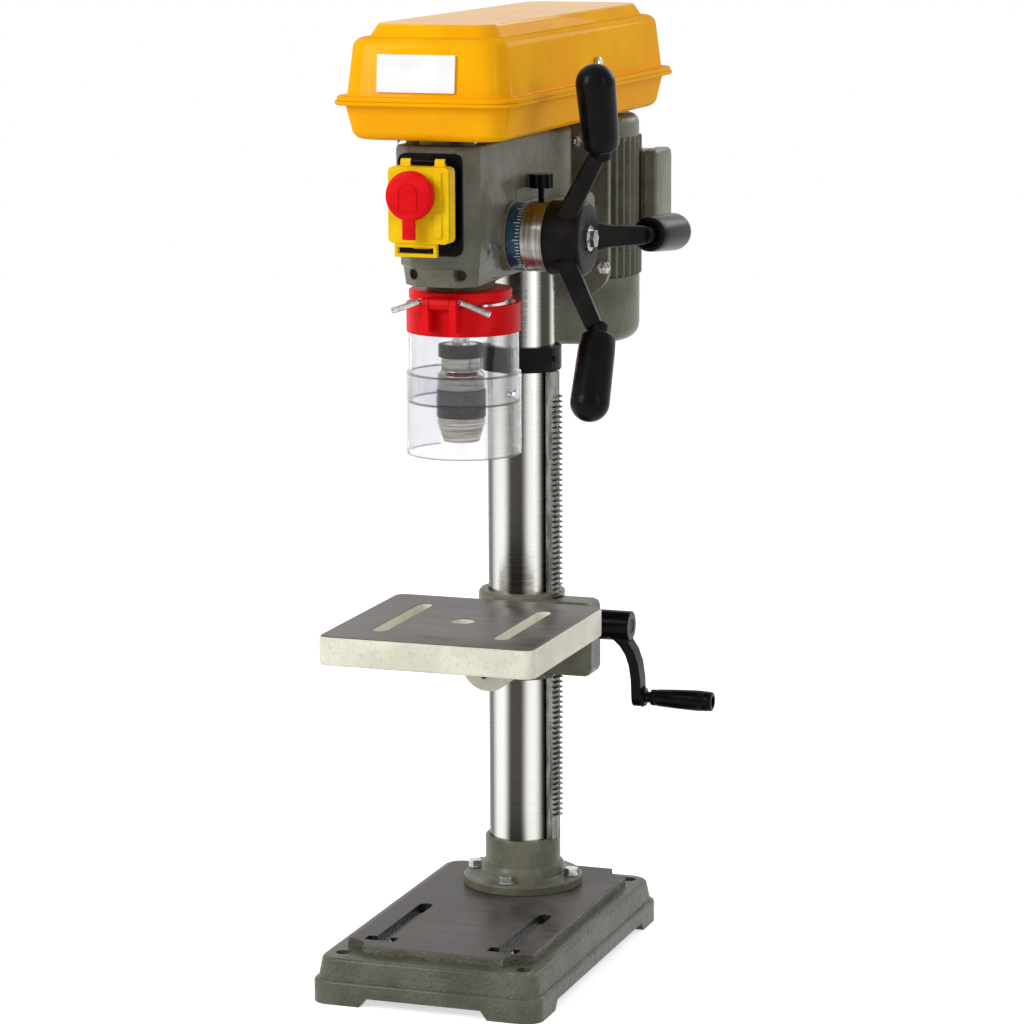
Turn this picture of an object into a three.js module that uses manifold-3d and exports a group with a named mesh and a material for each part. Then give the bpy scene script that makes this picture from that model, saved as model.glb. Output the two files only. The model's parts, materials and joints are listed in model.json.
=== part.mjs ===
// Benchtop drill press: cast base and column, rack and pinion table lift worked by a crank,
// tilting table, belt-driven spindle in a quill with a three-arm feed, hinged chuck guard,
// and a folded cover over the pulleys.
// Millimetres, +Z up, -Y toward the operator, +X toward the feed arms. Lengths are laid out
// from the column's axis with z = 0 on the bench; the whole group is moved at the end, so
// that its origin is the middle of its footprint.
import * as THREE from 'three';
import { mergeVertices } from 'three/addons/utils/BufferGeometryUtils.js';
import Module from 'manifold-3d';

const wasm = await Module();
wasm.setup();

// Fits
const seat = 0.3; // gap between pieces that rest on or turn in one another
const overrun = 3; // how far a cut runs past the face that it opens
const weldReach = 1e-4; // corners nearer than this are one

// Facets round a full turn
const fineFacets = 24; // wide bores that turn on their shafts
const roundFacets = 16;
const boltFacets = 12;
const pinFacets = 8;
const arcFacets = 9; // half the facets round the guard's open rings
const hexSides = 6;
const largeCornerSteps = 3; // outlines of the base, table and cover
const cornerSteps = 2;
const springTurnSteps = 8;
const springWireSides = 5;

// Column and the axes that everything hangs on
const columnRadius = 30;
const columnWall = 4.5;
const throat = 157; // column axis to spindle axis
const motorBehind = 140; // column axis to motor axis
const headBottom = 616;
const headHeight = 118;
const columnSocketRoof = 7; // metal left over the column's top end

// Base casting
const baseHalfWidth = 104;
const baseFront = 263.5;
const baseBack = 81.8;
const baseCorner = 16;
const baseWall = 9;
const footHeight = 8.1;
const footLength = 45;
const footSlope = 7;
const bandHeight = 21;
const bandRound = 3;
const ledgeHeight = 39.7;
const ledgeInset = 5.5;
const ledgeRound = 3;
const ledgeThickness = 8.5;
const plateauHeight = 7.6;
const plateauSideInset = 19.2;
const plateauFrontInset = 24.6;
const plateauBackInset = 16.6;
const plateauCorner = 4;
const anchorRadius = 6.5;
const anchorInset = 22;
const anchorFrontInset = 25.8;
const anchorNotch = 18;
const baseSlotX = 56;
const baseSlotWidth = 12.5;
const baseSlotFront = 219;
const baseSlotLength = 121;
const baseSlotHeadWidth = 27.5;
const baseSlotHeadLength = 12;
const baseRibX = 33;
const baseRibThickness = 6;
const baseRibDepth = 18;
const columnPadRadius = 58;
const columnPadDepth = 10;

// Column flange and its bolts
const flangeRadius = 53.85;
const flangeThickness = 8.5;
const flangeChamfer = 1.4;
const skirtRadius = 38.5;
const skirtHeight = 12;
const skirtDraft = 1.5;
const socketRadius = 34;
const socketHeight = 44.7; // flange underside to socket top
const boltCircle = 46;
const boltRadius = 4;
const boltHeadRadius = 6.3;
const boltHeadHeight = 5.5;
const washerRadius = 6.4;
const washerThickness = 1.6;
const boltReach = 24; // below the flange top

// Rack and the collar that caps it
const rackAngle = -15; // degrees from +X, toward the operator
const rackModule = 1.5;
const rackBackGap = 0.5; // column to the rack's flat back
const rackPitchOffset = 7.5; // flat back to pitch line
const rackWidth = 14;
const rackTop = 518.7;
const rackPlainEnd = 21;
const rackBacklash = 0.5;
const collarRadius = 36;
const collarHeight = 22;
const collarChamfer = 1;
const setScrewRadius = 3;
const setScrewProud = 1.2;

// Table bracket, worm and pinion
const ringRadius = 39;
const ringBottom = 242;
const ringHeight = 78;
const ringChamfer = 2;
const gearBlockEnd = 74; // outer face of the gear block, from the column axis
const gearBlockY = -13;
const gearBlockWidth = 27;
const gearBlockRise = 6; // gear block underside above the ring's underside
const gearBlockHeight = 67;
const gearBlockRound = 6;
const crankZ = 294;
const liftTeeth = 16;
const liftPinionWidth = 11;
const liftAxleRadius = 4;
const liftAxleReach = 11.4;
const wormPitchRadius = 7.5;
const wormTip = 1.5;
const wormRoot = 1.9;
const wormThreadTipWidth = 0.5;
const wormThreadRootWidth = 2.2;
const wormStart = 42;
const wormLength = 20;
const wormBoreGap = 0.6;
const journalRadius = 9.3;
const crankShaftRadius = 5.5;
const tiltBossRadius = 24;
const tiltZ = 268;
const tiltBossFront = 66.7;
const clampAngle = 115;
const earReach = 62;
const earWidth = 26;
const earHeight = 38;
const earRise = 22; // above the ring's underside
const earSlit = 4;
const clampBoltAt = 51;
const clampBoltRadius = 4;
const clampHubRadius = 7.5;
const clampHubLength = 10;
const clampArmRadius = 3.5;
const clampArmLength = 52;
const clampKnobRadius = 8;

// Crank
const crankHubStart = 78;
const crankHubLength = 29.5;
const crankHubRadius = 13.5;
const crankRadius = 63.5;
const crankArmWidth = 18;
const crankArmThickness = 9;
const crankArmInner = 109.5;
const crankBossRadius = 8.5;
const crankBossEnd = 121.3;
const crankStudRadius = 5.2;
const crankStudEnd = 126;
const crankPinRadius = 3.5;
const crankPinLength = 46;
const crankGripLength = 56.5;
const crankGripRadius = 9.2;
const crankGripNeck = 7;

// Table
const tableHalf = 97;
const tableTop = 320.3;
const tableDepth = 24.9;
const tablePlate = 9;
const tableWall = 7;
const tableCorner = 9;
const tableEdgeBreak = 1.5;
const tableHoleRadius = 10.5;
const tableHoleBoss = 22;
const tableSlotX = 55;
const tableSlotWidth = 13;
const tableSlotLength = 124;
const tableRib = 6;
const tableRibX = 36;
const tiltArmHalf = 23.4;
const tiltArmThickness = 28;
const tiltBoltRadius = 6;
const tiltBoltHead = 10.5;
const tiltBoltHeadHeight = 9;
const tiltBoltReach = 46;

// Head casting
const headFrontOut = 69; // spindle axis to the head's front face
const headFaceHalf = 21;
const headHalf = 37.4;
const headHubHalf = 34.6;
const headRearHalf = 36;
const headRearY = 20;
const headShoulderLow = 18; // height of the lower step above the head's underside
const headShoulderHigh = 31;
const headStep = 2.5;
const headTopBreak = 3;
const columnBoss = 45;
const noseRadius = 28.5;
const noseLength = 17.7;
const noseShoulder = 6;
const quillHoleX = 20.4;
const frontHoleRadius = 5;
const frontHoleRise = 10.5;
const frontHoleDepth = 22;
const sideBossRadius = 30;
const sideBossFace = 40;
const railInner = 34;
const railOuter = 56;
const railFront = 93;
const railBack = 40;
const railBottomRise = 24;
const railHeight = 36;
const railRound = 7;
const coverPostRadius = 6;
const coverPostX = 24;
const coverPostFront = 205;
const coverPostBack = 24;

// Quill, spindle and chuck
const quillRadius = 20;
const quillBottom = 572;
const quillLength = 144;
const quillClear = 0.35;
const feedStroke = 50;
const feedModule = 1.25;
const feedTeeth = 16;
const feedRackInset = 1.6; // quill surface to the rack's pitch line
const feedRackWidth = 24;
const feedBacklash = 0.4;
const feedZ = 651.5;
const spindleRadius = 8;
const spindleShoulder = 13;
const spindleShoulderHeight = 3.7;
const arborRadius = 7.5;
const spindleTop = 800;
const splineHubRadius = 13;
const chuckTop = 561.5;
const chuckRingRadius = 19.2;
const chuckRingHeight = 11.2;
const chuckNeckRadius = 16.9;
const chuckNeckHeight = 11.3;
const chuckShoulderHeight = 3.6;
const chuckBodyRadius = 20;
const chuckBodyHeight = 12.4;
const chuckSleeveRadius = 20.9;
const chuckSleeveHeight = 24;
const chuckCoreRadius = 18.5;
const chuckBandRadius = 20.3;
const chuckBandHeight = 5.5;
const chuckNoseHeight = 15.5;
const chuckNoseRadius = 15.3;
const arborSocketDepth = 21.5;
const jawAngle = 14; // degrees between a jaw's slide and the spindle axis
const jawMouth = 7.2;
const jawLength = 18;
const jawTravel = 18;
const jawGap = 0.5;
const jawSpare = 2; // room left over the jaws when the chuck is open
const chuckEdge = 1;

// Feed shaft, ring, hub and arms; heights here run out along +X from the column axis
const feedJournal = 11.3;
const feedShaftRadius = 9;
const feedPinionHalf = 11.4;
const feedShaftInner = -38;
const depthRingRadius = 28.8;
const depthRingStart = 40;
const depthRingWidth = 12.6;
const feedCollarRadius = 29.5;
const feedCollarWidth = 20;
const feedHubRadius = 31.5;
const feedHubWidth = 32.4;
const feedHubRound = 4;
const discRound = 1;
const hubWasherRadius = 11;
const hubBoltRadius = 8;
const hubBoltHeight = 5;
const armCount = 3;
const armFirst = -3.3; // degrees from +Y toward +Z
const armRootX = 95;
const armRootWidth = 17;
const armRootThickness = 14;
const armTipX = 129.7;
const armTipRho = 91;
const armTipWidth = 13;
const armTipThickness = 11;
const armNeckRadius = 7.5;
const armNeckLength = 12;
const armPinRadius = 4.5;
const armPinLength = 40;
const gripLength = 77;
const gripRadius = 16.5;
const gripLean = 3.3; // degrees that a grip leans outward
const springCaseRadius = 27;
const springCaseDepth = 14;
const pointerLength = 28;
const pointerHeight = 12.5;
const pointerThickness = 1.6;
const pointerLift = 0.6;

// Slide lock and motor mount
const slideBarX = 46;
const slideBarRadius = 6;
const slideBarZ = 656;
const slideBarReach = 84;
const lockKnobY = -80.5;
const lockKnobX = 46.6;
const lockKnobRadius = 10.5;
const lockKnobHeight = 12;
const lockKnobBottom = 688.4;
const lockKnobFlutes = 10;
const lockKnobFlute = 1.1;
const lockStemRadius = 2.75;
const motorStandOff = 80; // motor axis behind the plate's front face
const plateFront = motorBehind - motorStandOff;
const plateThickness = 8;
const plateHalf = 62;
const plateBottom = 580;
const plateTop = 733;
const plateCorner = 22;
const motorRadius = 65.5;
const finCount = 20;
const finDepth = 4.5;
const finDuty = 0.45;
const finBottom = 590;
const bellBottom = 714;
const motorTop = 736;
const bellRadius = 63;
const bellRound = 9;
const cupBottom = 529;
const cupRadius = 63.5;
const cupRound = 15;
const cupWall = 2.5;
const ventCount = 4;
const motorFootX = 50;
const motorFootWidth = 20;
const motorFootHeight = 26;
const motorFootLow = 606;
const motorFootHigh = 682;
const terminalOuter = 82;
const terminalY = 165;
const terminalWidth = 50;
const terminalBottom = 630;
const terminalHeight = 73;
const terminalCorner = 6;
const terminalLidInset = 1.5;
const terminalLidDepth = 12;
const terminalRound = 2;
const motorShaftReach = 24;
const beltTravel = 12; // the motor's stroke toward the head when the belt is slackened

// Pulleys and belt
const pulleyBottom = 745;
const pulleySteps = 5;
const pulleyPitch = 12;
const pulleyLargest = 54;
const pulleyStepDrop = 6;
const grooveDepth = 7;
const beltWidth = 8;
const beltInnerWidth = 4.5;
const beltThickness = 5;

// Cover over the pulleys
const coverHalf = 72;
const coverFront = 250;
const coverBack = 208;
const coverCorner = 22;
const coverWall = 1.6;
const coverShaftGap = 2.5; // round the shafts that pass through its floor
const panBottom = 739.7;
const seamBottom = 768.5;
const lipHeight = 3.6;
const lipWidth = 7;
const lipRound = 1.2;
const panDraft = 4;
const panRound = 9;
const lidShoulder = 815;
const lidFlat = 824;
const plateauBaseInset = 13.8;
const plateauEndInset = 19;
const plateauSlope = 9;
const plateauRise = 10.5;
const hingeRadius = 2.8;
const hingeLeafThickness = 2;
const hingeLeafReach = 4;
const hingeKnuckle = 14;
const hingeFrontY = 190;
const hingeBackY = 130;
const lidScrewY = -3.2;
const lidScrewZ = 790.8;
const lidScrewRadius = 2.4;
const lidScrewHead = 5.5;
const lidScrewHeadHeight = 4.5;

// Switch
const switchHalf = 28.5;
const switchBottom = 644;
const switchTop = 729;
const switchPlate = 3.5;
const switchCorner = 6;
const switchBoxHalf = 22;
const switchBoxInset = 8;
const switchBoxDepth = 11.5;
const flapHalf = 26.8;
const flapBottom = 657;
const flapTop = 720;
const flapDepth = 15;
const flapWall = 2;
const flapCorner = 4;
const flapStand = 0.8;
const flapHingeRise = 3.5;
const flapHingeRadius = 2.6;
const flapKnuckle = 9;
const flapKnuckleX = 15;
const catchHalf = 9;
const catchDrop = 5;
const paddleX = -4;
const paddleZ = 697;
const paddleRadius = 20.5;
const paddleThickness = 8;
const paddleStand = 5.5;
const paddleStem = 5;
const paddleRound = 2.5;
const stopRadius = 7;
const startX = 13.5;
const startRadius = 6;
const buttonProud = 3;
const buttonDepth = 5;
const buttonRound = 0.8;
const buttonTravel = 2.5;

// Chuck guard
const guardAhead = 7; // the guard's axis lies this far behind the spindle's
const guardOpening = 45; // degrees each side of straight back
const guardCollarRadius = 43.9;
const guardCollarStep = 39;
const guardCollarHeight = 11.2;
const guardCollarStepHeight = 2.7;
const guardCollarRound = 1;
const bandTop = 597;
const bandDepth = 25;
const bandRadius = 48.9;
const bandFlange = 4.5;
const bandFlangeThickness = 1.7;
const tubeRadius = 47.2;
const tubeWall = 2.2;
const tubeTop = 595;
const tubeBottom = 512;
const sleeveRadius = 49.2;
const sleeveTop = 537;
const sleeveBottom = 467;
const sleeveTravel = 34;
const guardPinY = -206;
const guardPinZ = 601;
const guardPinRadius = 2.2;
const guardLugHalf = 9;
const guardEarThickness = 6;
const guardLugRadius = 5.5;
const guardLockAngle = -11.4;
const guardLockZ = 520;
const guardLockRadius = 1.8;
const guardLockHead = 4;
const guardLockHeadHeight = 3;
const springWire = 0.9;
const springRadius = 1.95;
const springLength = 31;
const springCurls = 6;
const springDroop = 19; // degrees below level
const springRise = 2.5; // above the hinge pin

// Shared places worked out from the sizes above
const baseTop = ledgeHeight + plateauHeight;
const flangeBottom = baseTop + seat;
const flangeTop = flangeBottom + flangeThickness;
const socketTop = flangeBottom + socketHeight;
const headTop = headBottom + headHeight;
const columnTop = headTop - columnSocketRoof - 2 * seat;
const columnBore = columnRadius + seat;
const rackBack = columnRadius + rackBackGap;
const rackPitchLine = rackBack + rackPitchOffset;
const rackTip = rackPitchLine + rackModule;
const dedendumShare = 1.25; // of the module
const rackRoot = rackPitchLine - dedendumShare * rackModule;
const rackBottom = socketTop + seat;
const liftPitchRadius = rackModule * liftTeeth / 2;
const liftPinionAt = rackPitchLine + liftPitchRadius;
const pinionZ = crankZ - wormPitchRadius - liftPitchRadius;
const threadPitch = Math.PI * rackModule;
const spindleY = -throat;
const feedPitchRadius = feedModule * feedTeeth / 2;
const feedRackPlane = quillRadius - feedRackInset;
const feedY = spindleY + feedRackPlane + feedPitchRadius;
const headFrontY = spindleY - headFrontOut;
const noseBottom = headBottom - noseLength;
const quillTop = quillBottom + quillLength;
const seamTop = seamBottom + lipHeight;
const lidBottom = seamTop + seat;
const lidLipTop = lidBottom + lipHeight;
const guardY = spindleY + guardAhead;
const barBore = slideBarRadius + seat;
const radians = THREE.MathUtils.degToRad;
const pressureAngle = radians(20);

// Looks
const greyPaint = new THREE.MeshStandardMaterial({ color: '#6f7162', roughness: 0.45, metalness: 0.2 });
const yellowPaint = new THREE.MeshStandardMaterial({ color: '#f4a51c', roughness: 0.25, metalness: 0.1 });
const creamPaint = new THREE.MeshStandardMaterial({ color: '#e8e3cd', roughness: 0.5, metalness: 0.1 });
const groundSteel = new THREE.MeshStandardMaterial({ color: '#b4b4b2', roughness: 0.3, metalness: 0.9 });
const brightSteel = new THREE.MeshStandardMaterial({ color: '#d3d5d8', roughness: 0.2, metalness: 1 });
const blackSteel = new THREE.MeshStandardMaterial({ color: '#232325', roughness: 0.4, metalness: 0.6 });
const blackPlastic = new THREE.MeshStandardMaterial({ color: '#1d1d1f', roughness: 0.3, metalness: 0 });
const bluePaint = new THREE.MeshStandardMaterial({ color: '#1d5c7c', roughness: 0.4, metalness: 0.2 });
const redPlastic = new THREE.MeshStandardMaterial({ color: '#d41f2b', roughness: 0.35, metalness: 0 });
const yellowPlastic = new THREE.MeshStandardMaterial({ color: '#f3cf16', roughness: 0.35, metalness: 0 });
const greenPlastic = new THREE.MeshStandardMaterial({ color: '#2c8a45', roughness: 0.35, metalness: 0 });
const clearPlastic = new THREE.MeshStandardMaterial({ color: '#dde3e2', roughness: 0.05, metalness: 0 });
const castAluminium = new THREE.MeshStandardMaterial({ color: '#a6a8aa', roughness: 0.4, metalness: 0.8 });
const beltRubber = new THREE.MeshStandardMaterial({ color: '#262422', roughness: 0.8, metalness: 0 });

// Six times the signed volume, positive when the faces point outward
function signedVolume(points, triangles) {
  let sum = 0;
  const corners = [new THREE.Vector3(), new THREE.Vector3(), new THREE.Vector3()];
  for (let t = 0; t < triangles.length; t += 3) {
    corners.forEach((corner, i) => corner.fromArray(points, triangles[t + i] * 3));
    sum += corners[0].dot(corners[1].cross(corners[2]));
  }
  return sum;
}

// A closed geometry as a solid that can be joined and cut
function solid(geometry) {
  const bare = geometry.clone();
  bare.deleteAttribute('normal');
  bare.deleteAttribute('uv');
  const merged = mergeVertices(bare, weldReach);
  const points = new Float32Array(merged.attributes.position.array);
  const corners = merged.index.array;
  const triangles = [];
  for (let t = 0; t < corners.length; t += 3) {
    const [a, b, c] = [corners[t], corners[t + 1], corners[t + 2]];
    if (a !== b && b !== c && c !== a) triangles.push(a, b, c);
  }
  if (signedVolume(points, triangles) < 0) triangles.reverse();
  const mesh = new wasm.Mesh({ numProp: 3, vertProperties: points, triVerts: new Uint32Array(triangles) });
  return new wasm.Manifold(mesh);
}

const joined = (...pieces) => pieces.reduce((whole, piece) => whole.add(piece));
const cutBy = (whole, ...cutters) => cutters.reduce((rest, cutter) => rest.subtract(cutter), whole);

// A solid back as a geometry
function geometryOf(manifold) {
  const mesh = manifold.getMesh();
  const geometry = new THREE.BufferGeometry();
  geometry.setAttribute('position', new THREE.BufferAttribute(new Float32Array(mesh.vertProperties), 3));
  geometry.setIndex(new THREE.BufferAttribute(new Uint32Array(mesh.triVerts), 1));
  geometry.computeVertexNormals();
  return geometry;
}

// Cylinder about Z between two heights
function rod(radius, from, to, sides = roundFacets) {
  const geometry = new THREE.CylinderGeometry(radius, radius, to - from, sides);
  return geometry.rotateX(Math.PI / 2).translate(0, 0, (from + to) / 2);
}

function block(x0, x1, y0, y1, z0, z1) {
  const geometry = new THREE.BoxGeometry(x1 - x0, y1 - y0, z1 - z0);
  return geometry.translate((x0 + x1) / 2, (y0 + y1) / 2, (z0 + z1) / 2);
}

// Profile of [radius, height] turned about Z; it closes on the axis or on itself
function turned(profile, sides = roundFacets) {
  const points = profile.map(([radius, height]) => new THREE.Vector2(radius, height));
  return new THREE.LatheGeometry(points, sides).rotateX(Math.PI / 2);
}

// Height axis laid along +X or +Y
const alongX = (geometry) => geometry.rotateY(Math.PI / 2);
const alongY = (geometry) => geometry.rotateX(-Math.PI / 2);

// Outline extruded along Z, along Y from an outline in X and Z, or along X from one in Y and Z
function plate(shape, from, to, curveSegments = 4) {
  const geometry = new THREE.ExtrudeGeometry(shape, { depth: to - from, bevelEnabled: false, curveSegments });
  return geometry.translate(0, 0, from);
}

function plateAlongY(shape, from, to, curveSegments = 4) {
  return plate(shape, -to, -from, curveSegments).rotateX(Math.PI / 2);
}

function plateAlongX(shape, from, to, curveSegments = 4) {
  const axes = new THREE.Matrix4();
  axes.makeBasis(new THREE.Vector3(0, 1, 0), new THREE.Vector3(0, 0, 1), new THREE.Vector3(1, 0, 0));
  return plate(shape, from, to, curveSegments).applyMatrix4(axes);
}

// Points of a rectangle with round corners, counter-clockwise
function roundedLoop(west, east, south, north, radius, steps = cornerSteps) {
  const corners = [[east, south, -90], [east, north, 0], [west, north, 90], [west, south, 180]];
  return corners.flatMap(([x, y, start]) => {
    const centreX = x === east ? east - radius : west + radius;
    const centreY = y === north ? north - radius : south + radius;
    return Array.from({ length: steps + 1 }, (_, i) => {
      const angle = radians(start + 90 * i / steps);
      return new THREE.Vector2(centreX + radius * Math.cos(angle), centreY + radius * Math.sin(angle));
    });
  });
}

const roundedRectangle = (...sizes) => new THREE.Shape(roundedLoop(...sizes));
const atHeight = (loop, z) => loop.map((point) => new THREE.Vector3(point.x, point.y, z));

// Solid skinned over rings of equal counts, capped at both ends or closed on itself
function loft(rings, ringClosed = false) {
  const count = rings[0].length;
  const places = rings.flat().flatMap((point) => [point.x, point.y, point.z]);
  const index = [];
  const spans = ringClosed ? rings.length : rings.length - 1;
  for (let ring = 0; ring < spans; ring++) {
    for (let i = 0; i < count; i++) {
      const next = (i + 1) % count;
      const above = (ring + 1) % rings.length * count;
      index.push(ring * count + i, ring * count + next, above + next);
      index.push(ring * count + i, above + next, above + i);
    }
  }
  const last = (rings.length - 1) * count;
  for (let i = 1; !ringClosed && i + 1 < count; i++) {
    index.push(0, i + 1, i);
    index.push(last, last + i, last + i + 1);
  }
  const geometry = new THREE.BufferGeometry();
  geometry.setAttribute('position', new THREE.Float32BufferAttribute(places, 3));
  geometry.setIndex(index);
  return geometry;
}

// Part of a flat ring about a centre, open over an angle each side of +Y
function openRing(inner, outer, opening) {
  const start = Math.PI / 2 + opening;
  const end = Math.PI * 5 / 2 - opening;
  const shape = new THREE.Shape();
  shape.absarc(0, 0, outer, start, end, false);
  shape.absarc(0, 0, inner, end, start, true);
  return shape;
}

// Spur gear outline, a tooth on +X, each flank the chord of its involute
function gearShape(module, teeth, backlash) {
  const pitch = module * teeth / 2;
  const base = pitch * Math.cos(pressureAngle);
  const tip = pitch + module;
  const root = pitch - dedendumShare * module;
  const involute = (angle) => Math.tan(angle) - angle;
  const halfAtPitch = Math.PI / 2 / teeth - backlash / 2 / pitch;
  const halfAt = (radius) => halfAtPitch + involute(pressureAngle)
    - involute(Math.acos(Math.min(1, base / radius)));
  const rise = [[root, base], [tip, tip]];
  const points = [];
  for (let tooth = 0; tooth < teeth; tooth++) {
    const middle = 2 * Math.PI * tooth / teeth;
    rise.forEach(([radius, at]) => points.push([radius, middle - halfAt(at)]));
    rise.toReversed().forEach(([radius, at]) => points.push([radius, middle + halfAt(at)]));
  }
  return new THREE.Shape(points.map(([r, a]) => new THREE.Vector2(r * Math.cos(a), r * Math.sin(a))));
}

// Teeth of a straight rack as points going up: [out from the pitch line, height]
function rackTeeth(module, from, to, through, backlash) {
  const pitch = Math.PI * module;
  const slope = Math.tan(pressureAngle);
  const half = pitch / 4 - backlash / 2;
  const depth = dedendumShare * module;
  const first = Math.ceil((from - through) / pitch);
  const last = Math.floor((to - through) / pitch);
  const points = [];
  for (let tooth = first; tooth <= last; tooth++) {
    const middle = through + tooth * pitch;
    points.push([-depth, middle - half - depth * slope]);
    points.push([module, middle - half + module * slope]);
    points.push([module, middle + half - module * slope]);
    points.push([-depth, middle + half + depth * slope]);
  }
  return points;
}

// Helical spring about Z: a round wire, straight at its ends
function springRings(radius, wire, length, curls) {
  const steps = springTurnSteps * curls;
  const path = [new THREE.Vector3(radius, 0, 0)];
  for (let i = 0; i <= steps; i++) {
    const angle = 2 * Math.PI * i / springTurnSteps;
    const rise = wire + (length - 2 * wire) * i / steps;
    path.push(new THREE.Vector3(radius * Math.cos(angle), radius * Math.sin(angle), rise));
  }
  const end = path.at(-1);
  path.push(new THREE.Vector3(end.x, end.y, length));
  return path.map((point, i) => {
    const before = path[Math.max(i - 1, 0)];
    const after = path[Math.min(i + 1, path.length - 1)];
    const along = after.clone().sub(before).normalize();
    const outward = new THREE.Vector3(point.x, point.y, 0).normalize();
    const across = along.clone().cross(outward).normalize();
    return Array.from({ length: springWireSides }, (_, side) => {
      const angle = 2 * Math.PI * side / springWireSides;
      const offset = outward.clone().multiplyScalar(wire / 2 * Math.cos(angle));
      return point.clone().add(offset).addScaledVector(across, wire / 2 * Math.sin(angle));
    });
  });
}

// Least distance between the surfaces of two turns, from the middles of the wire's rings
function leastSpringGap(rings, wire) {
  const middles = rings.map((ring) =>
    ring.reduce((sum, point) => sum.add(point), new THREE.Vector3()).divideScalar(ring.length));
  let least = Infinity;
  for (let i = 0; i < middles.length; i++) {
    for (let j = i + springTurnSteps - 2; j < middles.length; j++) {
      least = Math.min(least, middles[i].distanceTo(middles[j]));
    }
  }
  return least - wire;
}

function baseOutline(inset, frontInset, backInset, corner) {
  return [-baseHalfWidth + inset, baseHalfWidth - inset, -baseFront + frontInset, baseBack - backInset, corner];
}

// Slot with a wider end toward the operator
function baseSlotShape(x) {
  const half = baseSlotWidth / 2;
  const headHalfWidth = baseSlotHeadWidth / 2;
  const front = -baseSlotFront;
  const shape = new THREE.Shape();
  shape.moveTo(x - headHalfWidth, front);
  shape.lineTo(x + headHalfWidth, front);
  shape.lineTo(x + headHalfWidth, front + baseSlotHeadLength);
  shape.lineTo(x + half, front + baseSlotHeadLength);
  shape.lineTo(x + half, front + baseSlotLength - half);
  shape.absarc(x, front + baseSlotLength - half, half, 0, Math.PI, false);
  shape.lineTo(x - half, front + baseSlotHeadLength);
  shape.lineTo(x - headHalfWidth, front + baseSlotHeadLength);
  return shape;
}

// Gap under the base's edge between two feet, as an outline across it
function footGap(halfSpan) {
  const shape = new THREE.Shape();
  shape.moveTo(-halfSpan - footSlope, -overrun);
  shape.lineTo(halfSpan + footSlope, -overrun);
  shape.lineTo(halfSpan + footSlope, 0);
  shape.lineTo(halfSpan, footHeight);
  shape.lineTo(-halfSpan, footHeight);
  shape.lineTo(-halfSpan - footSlope, 0);
  return shape;
}

function anchorPlaces() {
  const x = baseHalfWidth - anchorInset;
  const front = -baseFront + anchorFrontInset;
  const back = baseBack - anchorInset;
  return [[x, front], [-x, front], [x, back], [-x, back]];
}

function boltPlaces() {
  return [0, 1, 2, 3].map((i) => {
    const angle = i * Math.PI / 2;
    return [boltCircle * Math.cos(angle), boltCircle * Math.sin(angle)];
  });
}

// Hollow casting: band, ledge and raised plateau with notched corners, open underneath
function baseCasting() {
  const outline = (inset, steps = largeCornerSteps) =>
    roundedLoop(...baseOutline(inset, inset, inset, baseCorner - inset / 2), steps);
  const skin = solid(loft([
    atHeight(outline(0), 0),
    atHeight(outline(0), bandHeight - bandRound / 2),
    atHeight(outline(bandRound), bandHeight + bandRound / 4),
    atHeight(outline(ledgeInset), ledgeHeight - ledgeRound),
    atHeight(outline(ledgeInset + ledgeRound / 3), ledgeHeight - ledgeRound / 4),
    atHeight(outline(ledgeInset + ledgeRound), ledgeHeight),
  ]));
  const plateauShape = roundedRectangle(
    ...baseOutline(plateauSideInset, plateauFrontInset, plateauBackInset, plateauCorner));
  const notches = anchorPlaces().map(([x, y]) =>
    solid(rod(anchorNotch, ledgeHeight - ledgeThickness, baseTop + overrun, boltFacets).translate(x, y, 0)));
  const plateau = cutBy(
    solid(plate(plateauShape, ledgeHeight - ledgeThickness / 2, baseTop)), ...notches);
  const hollowTop = ledgeHeight - ledgeThickness;
  const hollow = solid(loft([
    atHeight(outline(baseWall, cornerSteps), -overrun),
    atHeight(outline(baseWall + ledgeInset, cornerSteps), hollowTop),
  ]));
  const notchEnd = anchorNotch + baseWall;
  const plateauHollow = solid(block(
    -baseHalfWidth + plateauSideInset + baseWall, baseHalfWidth - plateauSideInset - baseWall,
    -baseFront + anchorFrontInset + notchEnd, baseBack - anchorInset - notchEnd,
    hollowTop - overrun, hollowTop + plateauHeight));
  const ribs = [-baseRibX, baseRibX].map((x) => solid(block(
    x - baseRibThickness / 2, x + baseRibThickness / 2,
    -baseFront + baseWall, baseBack - baseWall,
    baseTop - ledgeThickness - baseRibDepth, baseTop - ledgeThickness / 2)));
  const pad = solid(rod(columnPadRadius, baseTop - ledgeThickness - columnPadDepth, baseTop - ledgeThickness / 2));
  const halfGapX = baseHalfWidth - footLength;
  const middleY = (baseBack - baseFront) / 2;
  const halfGapY = (baseBack + baseFront) / 2 - footLength;
  const gapAcross = plateAlongY(footGap(halfGapX), -baseFront - overrun, baseBack + overrun);
  const gapAlong = plateAlongX(footGap(halfGapY), -baseHalfWidth - overrun, baseHalfWidth + overrun);
  const holes = anchorPlaces().map(([x, y]) =>
    solid(rod(anchorRadius, -overrun, baseTop, pinFacets).translate(x, y, 0)));
  const slots = [-baseSlotX, baseSlotX].map((x) => solid(plate(baseSlotShape(x), 0, baseTop + overrun)));
  const boltHoles = boltPlaces().map(([x, y]) =>
    solid(rod(boltRadius + seat, 0, baseTop + overrun, pinFacets).translate(x, y, 0)));
  const shell = cutBy(joined(skin, plateau), hollow, plateauHollow);
  return geometryOf(cutBy(
    joined(shell, ...ribs, pad), solid(gapAcross), solid(gapAlong.translate(0, middleY, 0)),
    ...holes, ...slots, ...boltHoles));
}

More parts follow.
